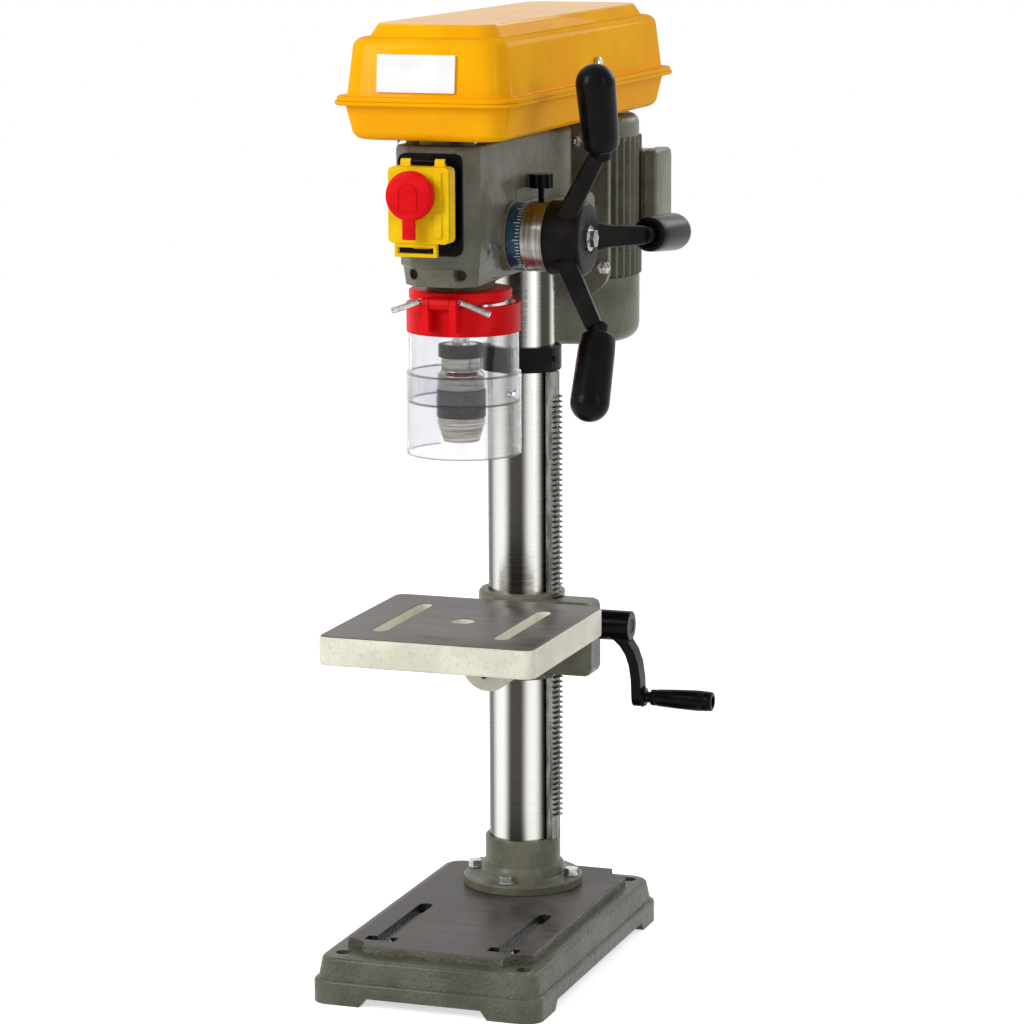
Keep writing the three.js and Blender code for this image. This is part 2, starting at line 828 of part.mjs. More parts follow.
function columnFlange() {
  const ring = turned([
    [columnBore, flangeBottom],
    [flangeRadius, flangeBottom],
    [flangeRadius, flangeTop - flangeChamfer],
    [flangeRadius - flangeChamfer, flangeTop],
    [skirtRadius, flangeTop],
    [skirtRadius - skirtDraft, flangeTop + skirtHeight - skirtDraft],
    [socketRadius, flangeTop + skirtHeight],
    [socketRadius, socketTop - flangeChamfer],
    [socketRadius - flangeChamfer, socketTop],
    [columnBore, socketTop],
    [columnBore, flangeBottom],
  ]);
  const holes = boltPlaces().map(([x, y]) =>
    solid(rod(boltRadius + seat, flangeBottom - overrun, flangeTop + overrun, pinFacets).translate(x, y, 0)));
  return geometryOf(cutBy(solid(ring), ...holes));
}

// Bolt about Z with z = 0 under its washer
function flangeBolt() {
  const shank = turned([
    [0, -boltReach],
    [boltRadius, -boltReach],
    [boltRadius, 0],
    [washerRadius, 0],
    [washerRadius, washerThickness],
    [0, washerThickness],
  ], pinFacets);
  const head = rod(boltHeadRadius, washerThickness / 2, washerThickness + boltHeadHeight, hexSides);
  return geometryOf(joined(solid(shank), solid(head)));
}

function columnTube() {
  const bottom = flangeBottom;
  const inner = columnRadius - columnWall;
  return turned([
    [inner, bottom],
    [columnRadius, bottom],
    [columnRadius, columnTop],
    [inner, columnTop],
    [inner, bottom],
  ]);
}

function rackCollar() {
  const bottom = rackTop + seat;
  const top = bottom + collarHeight;
  const ring = turned([
    [columnBore, bottom],
    [collarRadius, bottom],
    [collarRadius, top - collarChamfer],
    [collarRadius - collarChamfer, top],
    [columnBore, top],
    [columnBore, bottom],
  ]);
  const screw = alongX(rod(setScrewRadius, columnBore + seat, collarRadius + setScrewProud, pinFacets));
  screw.rotateZ(radians(rackAngle)).translate(0, 0, bottom + collarHeight / 2);
  return geometryOf(joined(solid(ring), solid(screw)));
}

// Straight rack, its flat back toward the column, in the frame turned to the rack's side
function rackBar() {
  const teeth = rackTeeth(
    rackModule, rackBottom + rackPlainEnd, rackTop - rackPlainEnd, pinionZ, rackBacklash);
  const outline = [
    [rackBack, rackBottom],
    [rackRoot, rackBottom],
    ...teeth.map(([out, z]) => [rackPitchLine + out, z]),
    [rackRoot, rackTop],
    [rackBack, rackTop],
  ];
  const shape = new THREE.Shape(outline.map(([x, z]) => new THREE.Vector2(x, z)));
  return plateAlongY(shape, -rackWidth / 2, rackWidth / 2);
}

// Everything bored or slotted out of the bracket
function bracketCuts() {
  const bore = rod(columnBore, ringBottom - overrun, ringBottom + ringHeight + overrun, fineFacets);
  const channelHalf = rackWidth / 2 + seat;
  const channel = block(
    columnRadius - overrun, rackTip + 2 * seat, -channelHalf, channelHalf,
    ringBottom - overrun, ringBottom + ringHeight + overrun);
  const liftTip = liftPitchRadius + rackModule;
  const caveHalf = liftPinionWidth / 2 + seat;
  const pinionCave = alongY(rod(liftTip + wormBoreGap, -caveHalf, caveHalf));
  const axleBore = alongY(rod(liftAxleRadius + seat, -liftAxleReach - seat, liftAxleReach + seat, boltFacets));
  pinionCave.translate(liftPinionAt, 0, pinionZ);
  axleBore.translate(liftPinionAt, 0, pinionZ);
  const turn = radians(rackAngle);
  const wormCave = alongX(rod(
    journalRadius + seat, wormStart - wormBoreGap, gearBlockEnd + overrun));
  wormCave.translate(0, gearBlockY, crankZ);
  const tiltBore = alongY(rod(
    tiltBoltRadius + seat, -tiltBossFront - overrun, -tiltBoltReach + seat)).translate(0, 0, tiltZ);
  const clampTurn = radians(clampAngle);
  const slit = block(
    columnRadius - overrun, earReach + overrun, -earSlit / 2, earSlit / 2,
    ringBottom - overrun, ringBottom + ringHeight + overrun);
  const clampBore = alongY(rod(clampBoltRadius + seat, -earWidth, earWidth, boltFacets));
  clampBore.translate(clampBoltAt, 0, ringBottom + earRise + earHeight / 2);
  return [
    bore, channel.rotateZ(turn), pinionCave.rotateZ(turn), axleBore.rotateZ(turn), wormCave,
    tiltBore, slit.rotateZ(clampTurn), clampBore.rotateZ(clampTurn),
  ].map(solid);
}

// Ring round the column with the gear block, the tilt boss and the split clamping ears
function tableBracket() {
  const top = ringBottom + ringHeight;
  const ring = turned([
    [0, ringBottom],
    [ringRadius - ringChamfer, ringBottom],
    [ringRadius, ringBottom + ringChamfer],
    [ringRadius, top - ringChamfer],
    [ringRadius - ringChamfer, top],
    [0, top],
  ]);
  const blockBottom = ringBottom + gearBlockRise;
  const gearBlock = plateAlongY(
    roundedRectangle(columnRadius - gearBlockRound, gearBlockEnd, blockBottom,
      blockBottom + gearBlockHeight, gearBlockRound),
    gearBlockY - gearBlockWidth / 2, gearBlockY + gearBlockWidth / 2);
  const boss = alongY(rod(tiltBossRadius, -tiltBossFront, 0)).translate(0, 0, tiltZ);
  const earBottom = ringBottom + earRise;
  const ears = plateAlongY(
    roundedRectangle(columnRadius, earReach, earBottom, earBottom + earHeight, gearBlockRound),
    -earWidth / 2, earWidth / 2);
  ears.rotateZ(radians(clampAngle));
  const whole = joined(solid(ring), solid(gearBlock), solid(boss), solid(ears));
  return geometryOf(cutBy(whole, ...bracketCuts()));
}

// Pinion and axle about Z; a gap faces the rack and the worm
function liftPinion() {
  const half = liftPinionWidth / 2;
  const gear = plate(gearShape(rackModule, liftTeeth, rackBacklash), -half, half);
  gear.rotateZ(Math.PI / liftTeeth);
  const axle = rod(liftAxleRadius, -liftAxleReach, liftAxleReach, pinFacets);
  return geometryOf(joined(solid(gear), solid(axle)));
}

// Worm about Z with one thread, its journal and the shaft that carries the crank
function crankWorm() {
  const core = wormPitchRadius - wormRoot;
  const wormEnd = wormStart + wormLength;
  const shaft = turned([
    [0, wormStart],
    [core, wormStart],
    [core, wormEnd],
    [journalRadius, wormEnd],
    [journalRadius, gearBlockEnd],
    [crankShaftRadius, gearBlockEnd],
    [crankShaftRadius, crankHubStart + crankHubLength - 1.5 * seat],
    [0, crankHubStart + crankHubLength - 1.5 * seat],
  ], boltFacets);
  const turns = Math.floor(wormLength / threadPitch) - 1;
  const steps = springTurnSteps;
  const turn = radians(rackAngle);
  const meshX = (liftPinionAt - gearBlockY * Math.sin(turn)) / Math.cos(turn);
  const start = meshX - Math.floor((meshX - wormStart) / threadPitch) * threadPitch;
  const section = [
    [core - wormRoot / 4, -wormThreadRootWidth / 2],
    [wormPitchRadius + wormTip, -wormThreadTipWidth / 2],
    [wormPitchRadius + wormTip, wormThreadTipWidth / 2],
    [core - wormRoot / 4, wormThreadRootWidth / 2],
  ];
  const rings = Array.from({ length: turns * steps + 1 }, (_, i) => {
    const angle = 2 * Math.PI * i / steps;
    return section.map(([radius, along]) => new THREE.Vector3(
      radius * Math.cos(angle), radius * Math.sin(angle), start + along + threadPitch * i / steps));
  });
  return geometryOf(joined(solid(shaft), solid(loft(rings))));
}

// Strip of even thickness along a curve in the X-Z plane
function stripShape(curve, thickness, steps = 5) {
  const spots = Array.from({ length: steps + 1 }, (_, i) => i / steps);
  const side = (sign) => spots.map((t) => {
    const along = curve.getTangent(t);
    const spot = curve.getPoint(t);
    return new THREE.Vector2(spot.x - sign * along.y * thickness / 2, spot.y + sign * along.x * thickness / 2);
  });
  return new THREE.Shape([...side(-1), ...side(1).reverse()]);
}

// Crank about the worm's axis, hanging straight down, with the stud that its grip turns on
function crankArm() {
  const hubEnd = crankHubStart + crankHubLength;
  const armX = crankArmInner + crankArmThickness / 2;
  const rootX = hubEnd - crankHubRadius;
  const hub = alongX(rod(crankHubRadius, crankHubStart, hubEnd));
  const bore = alongX(rod(crankShaftRadius + seat, crankHubStart - overrun, hubEnd + overrun, boltFacets));
  const curve = new THREE.CubicBezierCurve(
    new THREE.Vector2(rootX, -crankHubRadius / 2),
    new THREE.Vector2(armX - crankArmThickness / 2, -crankHubRadius * 1.4),
    new THREE.Vector2(armX, -crankRadius / 2),
    new THREE.Vector2(armX, -crankRadius));
  const arm = plateAlongY(stripShape(curve, crankArmThickness), -crankArmWidth / 2, crankArmWidth / 2);
  const tip = alongX(rod(crankArmWidth / 2, crankArmInner, crankArmInner + crankArmThickness, boltFacets));
  const boss = alongX(rod(crankBossRadius, crankArmInner, crankBossEnd, boltFacets));
  const stud = alongX(rod(crankStudRadius, armX, crankStudEnd, pinFacets));
  const pin = alongX(rod(crankPinRadius, armX, crankStudEnd + crankPinLength, pinFacets));
  const low = [tip, boss, stud, pin].map((piece) => solid(piece.translate(0, 0, -crankRadius)));
  return geometryOf(joined(cutBy(joined(solid(hub), solid(arm)), solid(bore)), ...low));
}

function crankGrip() {
  const bore = crankPinRadius + seat;
  const length = crankGripLength;
  return turned([
    [0, crankPinLength + seat],
    [bore, crankPinLength + seat],
    [bore, 0],
    [crankGripNeck, 0],
    [crankGripNeck * 1.05, length * 0.15],
    [crankGripRadius, length * 0.6],
    [crankGripRadius, length * 0.8],
    [crankGripRadius * 0.85, length * 0.93],
    [crankGripRadius * 0.5, length * 0.99],
    [0, length],
  ], boltFacets);
}

// Clamp bolt along Y with a hub and a drooping lever on its outer end
function clampLever() {
  const hubStart = earWidth / 2 + seat;
  const bolt = alongY(rod(clampBoltRadius, -hubStart - boltHeadHeight / 2, hubStart + clampHubLength / 2, pinFacets));
  const head = alongY(rod(clampHubRadius, -hubStart - boltHeadHeight, -hubStart, hexSides));
  const hub = alongY(rod(clampHubRadius, hubStart, hubStart + clampHubLength, boltFacets));
  const middle = hubStart + clampHubLength / 2;
  const arm = rod(clampArmRadius, -clampArmLength, 0, pinFacets).translate(0, middle, 0);
  const knob = new THREE.SphereGeometry(clampKnobRadius, 8, 4).rotateX(Math.PI / 2);
  knob.translate(0, middle, -clampArmLength);
  return geometryOf(joined(...[bolt, head, hub, arm, knob].map(solid)));
}

// Slotted table about its tilt axis: plate, skirt and ribs, with the arm that meets the boss
function tableCasting() {
  const top = tableTop - tiltZ;
  const under = top - tableDepth;
  const ceiling = top - tablePlate;
  const front = spindleY - tableHalf;
  const back = spindleY + tableHalf;
  const outline = (inset) => roundedLoop(
    -tableHalf + inset, tableHalf - inset, front + inset, back - inset, tableCorner - inset / 2, largeCornerSteps);
  const slab = loft([
    atHeight(outline(tableEdgeBreak / 3), under),
    atHeight(outline(0), under + tableEdgeBreak),
    atHeight(outline(0), top - tableEdgeBreak),
    atHeight(outline(tableEdgeBreak / 2), top - tableEdgeBreak / 3),
    atHeight(outline(tableEdgeBreak), top),
  ]);
  const pocket = plate(new THREE.Shape(outline(tableWall)), under - overrun, ceiling);
  const inner = tableHalf - tableWall / 2;
  const ribs = [
    ...[-tableRibX, tableRibX].map((x) => block(
      x - tableRib / 2, x + tableRib / 2, spindleY - inner, spindleY + inner, under + tableRib, ceiling)),
    ...[-tableRibX, tableRibX].map((y) => block(
      -inner, inner, spindleY + y - tableRib / 2, spindleY + y + tableRib / 2, under + tableRib, ceiling)),
  ].map((rib) => solid(rib.translate(0, 0, seat)));
  const boss = solid(rod(tableHoleBoss, under, ceiling + seat).translate(0, spindleY, 0));
  const armFront = -tiltBossFront - seat - tiltArmThickness;
  const arm = new THREE.Shape();
  arm.absarc(0, 0, tiltArmHalf, Math.PI, 2 * Math.PI, false);
  arm.lineTo(tiltArmHalf, ceiling + seat);
  arm.lineTo(-tiltArmHalf, ceiling + seat);
  const armSolid = solid(plateAlongY(arm, armFront, -tiltBossFront - seat, 6));
  const hole = solid(rod(tableHoleRadius, under - overrun, top + overrun).translate(0, spindleY, 0));
  const half = tableSlotWidth / 2;
  const slots = [-tableSlotX, tableSlotX].map((x) => solid(plate(
    roundedRectangle(x - half, x + half, spindleY - tableSlotLength / 2, spindleY + tableSlotLength / 2, half),
    under - overrun, top + overrun)));
  const bolt = solid(alongY(rod(
    tiltBoltRadius + seat, armFront - overrun, -tiltBossFront + overrun)));
  const shell = cutBy(solid(slab), solid(pocket));
  return geometryOf(cutBy(joined(shell, ...ribs, boss, armSolid), hole, ...slots, bolt));
}

function tiltBolt() {
  const armFront = -tiltBossFront - seat - tiltArmThickness;
  const face = armFront - seat;
  const shank = alongY(rod(tiltBoltRadius, face - tiltBoltHeadHeight / 2, -tiltBoltReach, boltFacets));
  const head = alongY(rod(tiltBoltHead, face - tiltBoltHeadHeight, face, hexSides));
  return geometryOf(joined(solid(shank), solid(head)));
}

// Plan of the head's front body, drawn in by a share of its width and of its front
function headPlan(share) {
  const middle = spindleY;
  const front = middle - headFrontOut * share;
  const faceHalf = headFaceHalf * share;
  const half = headHalf * share;
  const chamfer = half - faceHalf;
  const right = [
    [faceHalf, front],
    [half, front + chamfer],
    [headHubHalf * share, feedY],
    [headRearHalf * share, -headRearY],
  ];
  const left = right.map(([x, y]) => [-x, y]).reverse();
  return [...right, ...left].map(([x, y]) => new THREE.Vector2(x, y));
}

const headShares = { foot: 0.86, low: 0.9, mid: 0.94, high: 1, top: 0.975 };

function headBody() {
  const low = headBottom + headShoulderLow;
  const high = headBottom + headShoulderHigh;
  const middle = (low + high) / 2;
  return loft([
    atHeight(headPlan(headShares.foot), headBottom),
    atHeight(headPlan(headShares.low), low - headStep),
    atHeight(headPlan(headShares.mid), low),
    atHeight(headPlan(headShares.mid), middle - headStep / 2),
    atHeight(headPlan((headShares.mid + headShares.high) / 2), middle + headStep / 2),
    atHeight(headPlan((headShares.mid + headShares.high) / 2), high - headStep),
    atHeight(headPlan(headShares.high), high),
    atHeight(headPlan(headShares.high), headTop - headTopBreak),
    atHeight(headPlan(headShares.top), headTop),
  ]);
}

function coverPosts(radius, from, to) {
  const spots = [-coverPostX, coverPostX].flatMap((x) => [[x, -coverPostFront], [x, coverPostBack]]);
  return spots.map(([x, y]) => rod(radius, from, to, hexSides).translate(x, y, 0));
}

function slideRails() {
  const bottom = headBottom + railBottomRise;
  return [[-railOuter, -railInner + railRound], [railInner - railRound, railOuter]].map(([west, east]) =>
    plateAlongY(roundedRectangle(west, east, bottom, bottom + railHeight, railRound), -railFront, railBack));
}

function headCuts() {
  const hubBore = splineHubRadius + seat;
  const quillBore = rod(quillRadius + quillClear, noseBottom - overrun, quillTop + 2 * seat);
  const spindleBore = rod(hubBore, quillTop - overrun, headTop + overrun);
  const columnHole = rod(columnBore, headBottom - overrun, headTop - columnSocketRoof);
  const feedBore = alongX(rod(feedJournal + seat, -sideBossFace - overrun, sideBossFace + overrun));
  const barBores = [-slideBarX, slideBarX].map((x) =>
    alongY(rod(barBore, -railFront - overrun, railBack + overrun, boltFacets)).translate(x, 0, slideBarZ));
  const frontHoles = [-quillHoleX, quillHoleX].map((x) =>
    alongY(rod(frontHoleRadius, headFrontY - overrun, headFrontY + frontHoleDepth, pinFacets))
      .translate(x, 0, headBottom + frontHoleRise));
  const railTop = headBottom + railBottomRise + railHeight;
  const stemBore = rod(lockStemRadius + seat, slideBarZ + slideBarRadius, railTop + overrun, pinFacets);
  return [
    quillBore.translate(0, spindleY, 0), spindleBore.translate(0, spindleY, 0), columnHole,
    feedBore.translate(0, feedY, feedZ), ...barBores, ...frontHoles,
    stemBore.translate(lockKnobX, lockKnobY, 0),
  ].map(solid);
}

// Head: faceted front body, column boss, quill nose, feed bosses and the slide bar rails
function headCasting() {
  const boss = turned([
    [0, headBottom],
    [columnBoss - headStep, headBottom],
    [columnBoss, headBottom + headStep],
    [columnBoss, headTop - headTopBreak],
    [columnBoss - headTopBreak, headTop],
    [0, headTop],
  ]);
  const nose = turned([
    [0, noseBottom],
    [noseRadius, noseBottom],
    [noseRadius, headBottom - noseShoulder],
    [noseRadius + headStep, headBottom + headStep],
    [0, headBottom + headStep],
  ]).translate(0, spindleY, 0);
  const sideBosses = alongX(rod(sideBossRadius, -sideBossFace, sideBossFace)).translate(0, feedY, feedZ);
  const posts = coverPosts(coverPostRadius, headTop - headTopBreak, panBottom - seat);
  const whole = [headBody(), boss, nose, sideBosses, ...slideRails(), ...posts].map(solid);
  return geometryOf(cutBy(joined(...whole), ...headCuts()));
}

// Quill with rack teeth milled into its back and a bore for the spindle
function quill() {
  const bore = spindleRadius + seat;
  const sleeve = turned([
    [bore, quillBottom],
    [quillRadius, quillBottom],
    [quillRadius, quillTop],
    [bore, quillTop],
    [bore, quillBottom],
  ]);
  const from = feedZ - feedPitchRadius;
  const to = Math.min(feedZ + feedStroke + feedPitchRadius, quillTop - feedModule);
  const teeth = rackTeeth(feedModule, from, to, feedZ, feedBacklash);
  const beyond = quillRadius + overrun;
  const outline = [
    [beyond, from - 2 * feedModule],
    ...teeth.map(([out, z]) => [feedRackPlane + out, z]),
    [beyond, to + 2 * feedModule],
  ];
  const comb = plateAlongX(
    new THREE.Shape(outline.map(([y, z]) => new THREE.Vector2(y, z))), -feedRackWidth / 2, feedRackWidth / 2);
  return geometryOf(cutBy(solid(sleeve), solid(comb)));
}

function spindle() {
  const shoulderBottom = quillBottom - seat - spindleShoulderHeight;
  const arborBottom = chuckTop - arborSocketDepth + 2 * seat;
  return turned([
    [0, arborBottom],
    [arborRadius - seat, arborBottom],
    [arborRadius, chuckTop + seat],
    [arborRadius, shoulderBottom],
    [spindleShoulder, shoulderBottom],
    [spindleShoulder, quillBottom - seat],
    [spindleRadius, quillBottom - seat],
    [spindleRadius, spindleTop],
    [0, spindleTop],
  ], boltFacets);
}

// Heights of the chuck's steps, from its top downward
const chuckHeights = (() => {
  const ring = chuckTop - chuckRingHeight;
  const neck = ring - chuckNeckHeight;
  const shoulder = neck - chuckShoulderHeight;
  const body = shoulder - chuckBodyHeight;
  const sleeve = body - chuckSleeveHeight;
  const band = sleeve - chuckBandHeight;
  return { ring, neck, shoulder, body, sleeve, band, nose: band - chuckNoseHeight };
})();

function chuckBody() {
  const at = chuckHeights;
  const slope = Math.tan(radians(jawAngle));
  const caveTop = at.nose + jawLength + jawTravel + jawSpare;
  const socket = arborRadius + seat;
  return turned([
    [0, caveTop],
    [jawMouth + (caveTop - at.nose) * slope, caveTop],
    [jawMouth, at.nose],
    [chuckNoseRadius - chuckEdge, at.nose],
    [chuckNoseRadius, at.nose + chuckEdge],
    [chuckBandRadius, at.band],
    [chuckBandRadius, at.sleeve],
    [chuckCoreRadius, at.sleeve],
    [chuckCoreRadius, at.body],
    [chuckBodyRadius, at.body],
    [chuckBodyRadius, at.shoulder],
    [chuckNeckRadius, at.neck],
    [chuckNeckRadius, at.ring],
    [chuckRingRadius, at.ring],
    [chuckRingRadius, chuckTop],
    [socket, chuckTop],
    [socket, chuckTop - arborSocketDepth],
    [0, chuckTop - arborSocketDepth],
  ]);
}

function chuckSleeve() {
  const inner = chuckCoreRadius + seat;
  const bottom = chuckHeights.sleeve + seat;
  const top = chuckHeights.body - seat;
  return turned([
    [inner, bottom],
    [chuckSleeveRadius, bottom],
    [chuckSleeveRadius, top],
    [inner, top],
    [inner, bottom],
  ], fineFacets);
}

// One of three jaws, a third of a cone, on the +X side; z runs from the chuck's nose
function chuckJaw() {
  const slope = Math.tan(radians(jawAngle));
  const ringAt = (z) => {
    const reach = jawMouth - jawGap + z * slope;
    const angles = [-50, -25, 0, 25, 50].map(radians);
    const arc = angles.map((a) => new THREE.Vector3(reach * Math.cos(a), reach * Math.sin(a), z));
    return [new THREE.Vector3(jawGap, 0, z), ...arc];
  };
  return loft([ringAt(jawGap), ringAt(jawLength)]);
}

// Shaft about Z, which lies along +X from the column axis, with the pinion in its middle
function feedShaft() {
  const half = feedPinionHalf;
  const boss = sideBossFace - seat;
  const hubEnd = depthRingStart + depthRingWidth + feedCollarWidth + feedHubWidth;
  const left = rod(feedJournal, feedShaftInner, -half, boltFacets);
  const right = turned([
    [0, half],
    [feedJournal, half],
    [feedJournal, boss],
    [feedShaftRadius, boss],
    [feedShaftRadius, hubEnd + seat],
    [hubWasherRadius, hubEnd + seat],
    [hubWasherRadius, hubEnd + seat + washerThickness],
    [0, hubEnd + seat + washerThickness],
  ], boltFacets);
  const bolt = rod(hubBoltRadius, hubEnd + washerThickness, hubEnd + washerThickness + hubBoltHeight, hexSides);
  const gear = plate(gearShape(feedModule, feedTeeth, feedBacklash), -half - seat, half + seat);
  gear.rotateZ(Math.PI / 2 + Math.PI / feedTeeth);
  return geometryOf(joined(...[left, right, bolt, gear].map(solid)));
}

function boredDisc(radius, bore, from, to, round = discRound) {
  return turned([
    [bore, from],
    [radius, from],
    [radius, to - round],
    [radius - round, to],
    [bore, to],
    [bore, from],
  ]);
}

function depthRing() {
  return boredDisc(depthRingRadius, feedShaftRadius + seat,
    depthRingStart + seat, depthRingStart + depthRingWidth - seat);
}

function feedCollar() {
  const start = depthRingStart + depthRingWidth;
  return boredDisc(feedCollarRadius, feedShaftRadius + seat, start, start + feedCollarWidth - seat);
}

function feedHub() {
  const start = depthRingStart + depthRingWidth + feedCollarWidth;
  return boredDisc(feedHubRadius, feedShaftRadius + seat, start, start + feedHubWidth, feedHubRound);
}

// Arm that leaves the hub along local +Y and leans out along +Z, with a pin for its grip
function feedArm() {
  const start = new THREE.Vector3(0, feedHubRadius * 0.8, armRootX - feedHubRound);
  const end = new THREE.Vector3(0, armTipRho - armNeckLength / 2, armTipX - gripLean);
  const along = end.clone().sub(start).normalize();
  const outward = new THREE.Vector3(0, 0, 1).cross(along).cross(along).negate().normalize();
  const sectionAt = (spot, width, thickness) => roundedLoop(
    -width / 2, width / 2, -thickness / 2, thickness / 2, thickness / 3, 2).map((point) =>
    spot.clone().add(new THREE.Vector3(point.x, 0, 0)).addScaledVector(outward, point.y));
  const bar = loft([
    sectionAt(start, armRootWidth, armRootThickness),
    sectionAt(end, armTipWidth, armTipThickness),
  ]);
  const neck = rod(armNeckRadius, -armNeckLength, -seat, pinFacets);
  const pin = rod(armPinRadius, -armNeckLength / 2, armPinLength, pinFacets);
  const tip = [neck, pin].map((piece) => {
    piece.rotateX(-Math.PI / 2 + radians(gripLean));
    return solid(piece.translate(0, armTipRho, armTipX));
  });
  const hubStart = depthRingStart + depthRingWidth + feedCollarWidth;
  const hubSpace = solid(rod(
    feedHubRadius + 2 * seat, hubStart - overrun, hubStart + feedHubWidth + 3 * overrun, fineFacets));
  return geometryOf(joined(cutBy(solid(bar), hubSpace), ...tip));
}

function feedGrip() {
  const bore = armPinRadius + seat;
  const shares = [[0.74, 0], [0.93, 0.14], [1, 0.45], [1, 0.75], [0.84, 0.92], [0.45, 0.99]];
  return turned([
    [0, armPinLength + seat],
    [bore, armPinLength + seat],
    [bore, 0],
    ...shares.map(([radius, height]) => [radius * gripRadius, height * gripLength]),
    [0, gripLength],
  ], boltFacets);
}

function depthPointer() {
  const shape = new THREE.Shape();
  shape.moveTo(0, -pointerHeight / 2);
  shape.lineTo(pointerLength, 0);
  shape.lineTo(0, pointerHeight / 2);
  return plateAlongX(shape, 0, pointerThickness);
}

function springCase() {
  const wall = sideBossFace + seat;
  return alongX(turned([
    [0, -wall - springCaseDepth],
    [springCaseRadius - headTopBreak, -wall - springCaseDepth],
    [springCaseRadius, -wall - springCaseDepth + headTopBreak],
    [springCaseRadius, -wall],
    [0, -wall],
  ]));
}

function lockKnob() {
  const outline = Array.from({ length: lockKnobFlutes * 4 }, (_, i) => {
    const dip = i % 4 < 2 ? 0 : lockKnobFlute;
    const angle = 2 * Math.PI * i / lockKnobFlutes / 4;
    return new THREE.Vector2((lockKnobRadius - dip) * Math.cos(angle), (lockKnobRadius - dip) * Math.sin(angle));
  });
  const knob = plate(new THREE.Shape(outline), 0, lockKnobHeight);
  const stemBottom = slideBarZ + slideBarRadius + seat - lockKnobBottom;
  const stem = rod(lockStemRadius, stemBottom, lockKnobHeight / 2, pinFacets);
  return geometryOf(joined(solid(knob), solid(stem)));
}

// Upright plate behind the head with the two bars that slide in the head's rails
function motorPlate() {
  const low = plateCorner;
  const shape = new THREE.Shape();
  shape.moveTo(-plateHalf + low, plateBottom);
  shape.lineTo(plateHalf - low, plateBottom);
  shape.absarc(plateHalf - low, plateBottom + low, low, -Math.PI / 2, 0, false);
  shape.lineTo(plateHalf, plateTop);
  shape.lineTo(-plateHalf, plateTop);
  shape.absarc(-plateHalf + low, plateBottom + low, low, Math.PI, Math.PI * 3 / 2, false);
  const slab = plateAlongY(shape, plateFront, plateFront + plateThickness);
  const bars = [-slideBarX, slideBarX].map((x) =>
    solid(alongY(rod(slideBarRadius, -slideBarReach, plateFront + plateThickness / 2, boltFacets)).translate(x, 0, slideBarZ)));
  return geometryOf(joined(solid(slab), ...bars));
}

// Finned stator with its top bell and the four feet that meet the plate
function motorBody() {
  const outline = Array.from({ length: finCount }, (_, i) => {
    const step = 2 * Math.PI / finCount;
    const start = i * step;
    const end = start + step * finDuty;
    return [[motorRadius, start], [motorRadius, end], [motorRadius - finDepth, end], [motorRadius - finDepth, start + step]];
  }).flat();
  const fins = plate(
    new THREE.Shape(outline.map(([r, a]) => new THREE.Vector2(r * Math.cos(a), r * Math.sin(a)))),
    finBottom, bellBottom + headStep);
  const bell = turned([
    [0, bellBottom],
    [bellRadius, bellBottom],
    [bellRadius, motorTop - bellRound],
    [bellRadius - bellRound, motorTop],
    [0, motorTop],
  ]);
  const footBack = motorBehind - Math.sqrt(motorRadius ** 2 - motorFootX ** 2) + finDepth * 2;
  const feet = [-motorFootX, motorFootX].flatMap((x) => [motorFootLow, motorFootHigh].map((z) => block(
    x - motorFootWidth / 2, x + motorFootWidth / 2,
    plateFront + plateThickness + seat - motorBehind, footBack - motorBehind,
    z, z + motorFootHeight)));
  const bore = rod(spindleRadius + seat, motorTop - motorShaftReach, motorTop + overrun, boltFacets);
  return geometryOf(cutBy(joined(...[fins, bell, ...feet].map(solid)), solid(bore)));
}

// Fan cup under the stator, hollow, with a round of vent slots in its floor
function motorCup() {
  const top = finBottom - seat;
  const inner = cupRadius - cupWall;
  const cup = turned([
    [0, cupBottom],
    [cupRadius - cupRound, cupBottom],
    [cupRadius - cupRound * 0.5, cupBottom + cupRound * 0.13],
    [cupRadius - cupRound * 0.13, cupBottom + cupRound * 0.5],
    [cupRadius, cupBottom + cupRound],
    [cupRadius, top],
    [inner, top],
    [inner, cupBottom + cupRound],
    [inner - cupRound * 0.8, cupBottom + cupWall],
    [0, cupBottom + cupWall],
  ]);
  const vents = Array.from({ length: ventCount }, (_, i) => {
    const slot = block(
      cupRadius * 0.3, cupRadius * 0.65, -cupWall, cupWall, cupBottom - overrun, cupBottom + cupWall + overrun);
    return solid(slot.rotateZ(2 * Math.PI * i / ventCount));
  });
  return geometryOf(cutBy(solid(cup), ...vents));
}

// Terminal box on the motor's side, hollowed to its round, with a lid step
function terminalBox() {
  const lidFace = terminalOuter - terminalLidDepth;
  const south = terminalY - terminalWidth / 2;
  const north = terminalY + terminalWidth / 2;
  const top = terminalBottom + terminalHeight;
  const inset = terminalLidInset;
  const box = plateAlongX(
    roundedRectangle(south + inset, north - inset, terminalBottom + inset, top - inset, terminalCorner - inset),
    motorRadius / 2, terminalOuter - terminalRound, 2);
  const lid = loft([
    [lidFace, 0],
    [terminalOuter - terminalRound, 0],
    [terminalOuter - terminalRound * 0.3, terminalRound * 0.3],
    [terminalOuter, terminalRound],
  ].map(([x, shrink]) => roundedLoop(
    south + shrink, north - shrink, terminalBottom + shrink, top - shrink, terminalCorner - shrink / 2)
    .map((point) => new THREE.Vector3(x, point.x, point.y))));
  const clearRadius = (motorRadius + seat) / Math.cos(Math.PI / roundFacets);
  const space = rod(clearRadius, terminalBottom - overrun, top + overrun).translate(0, motorBehind, 0);
  return geometryOf(cutBy(joined(solid(box), solid(lid)), solid(space)));
}

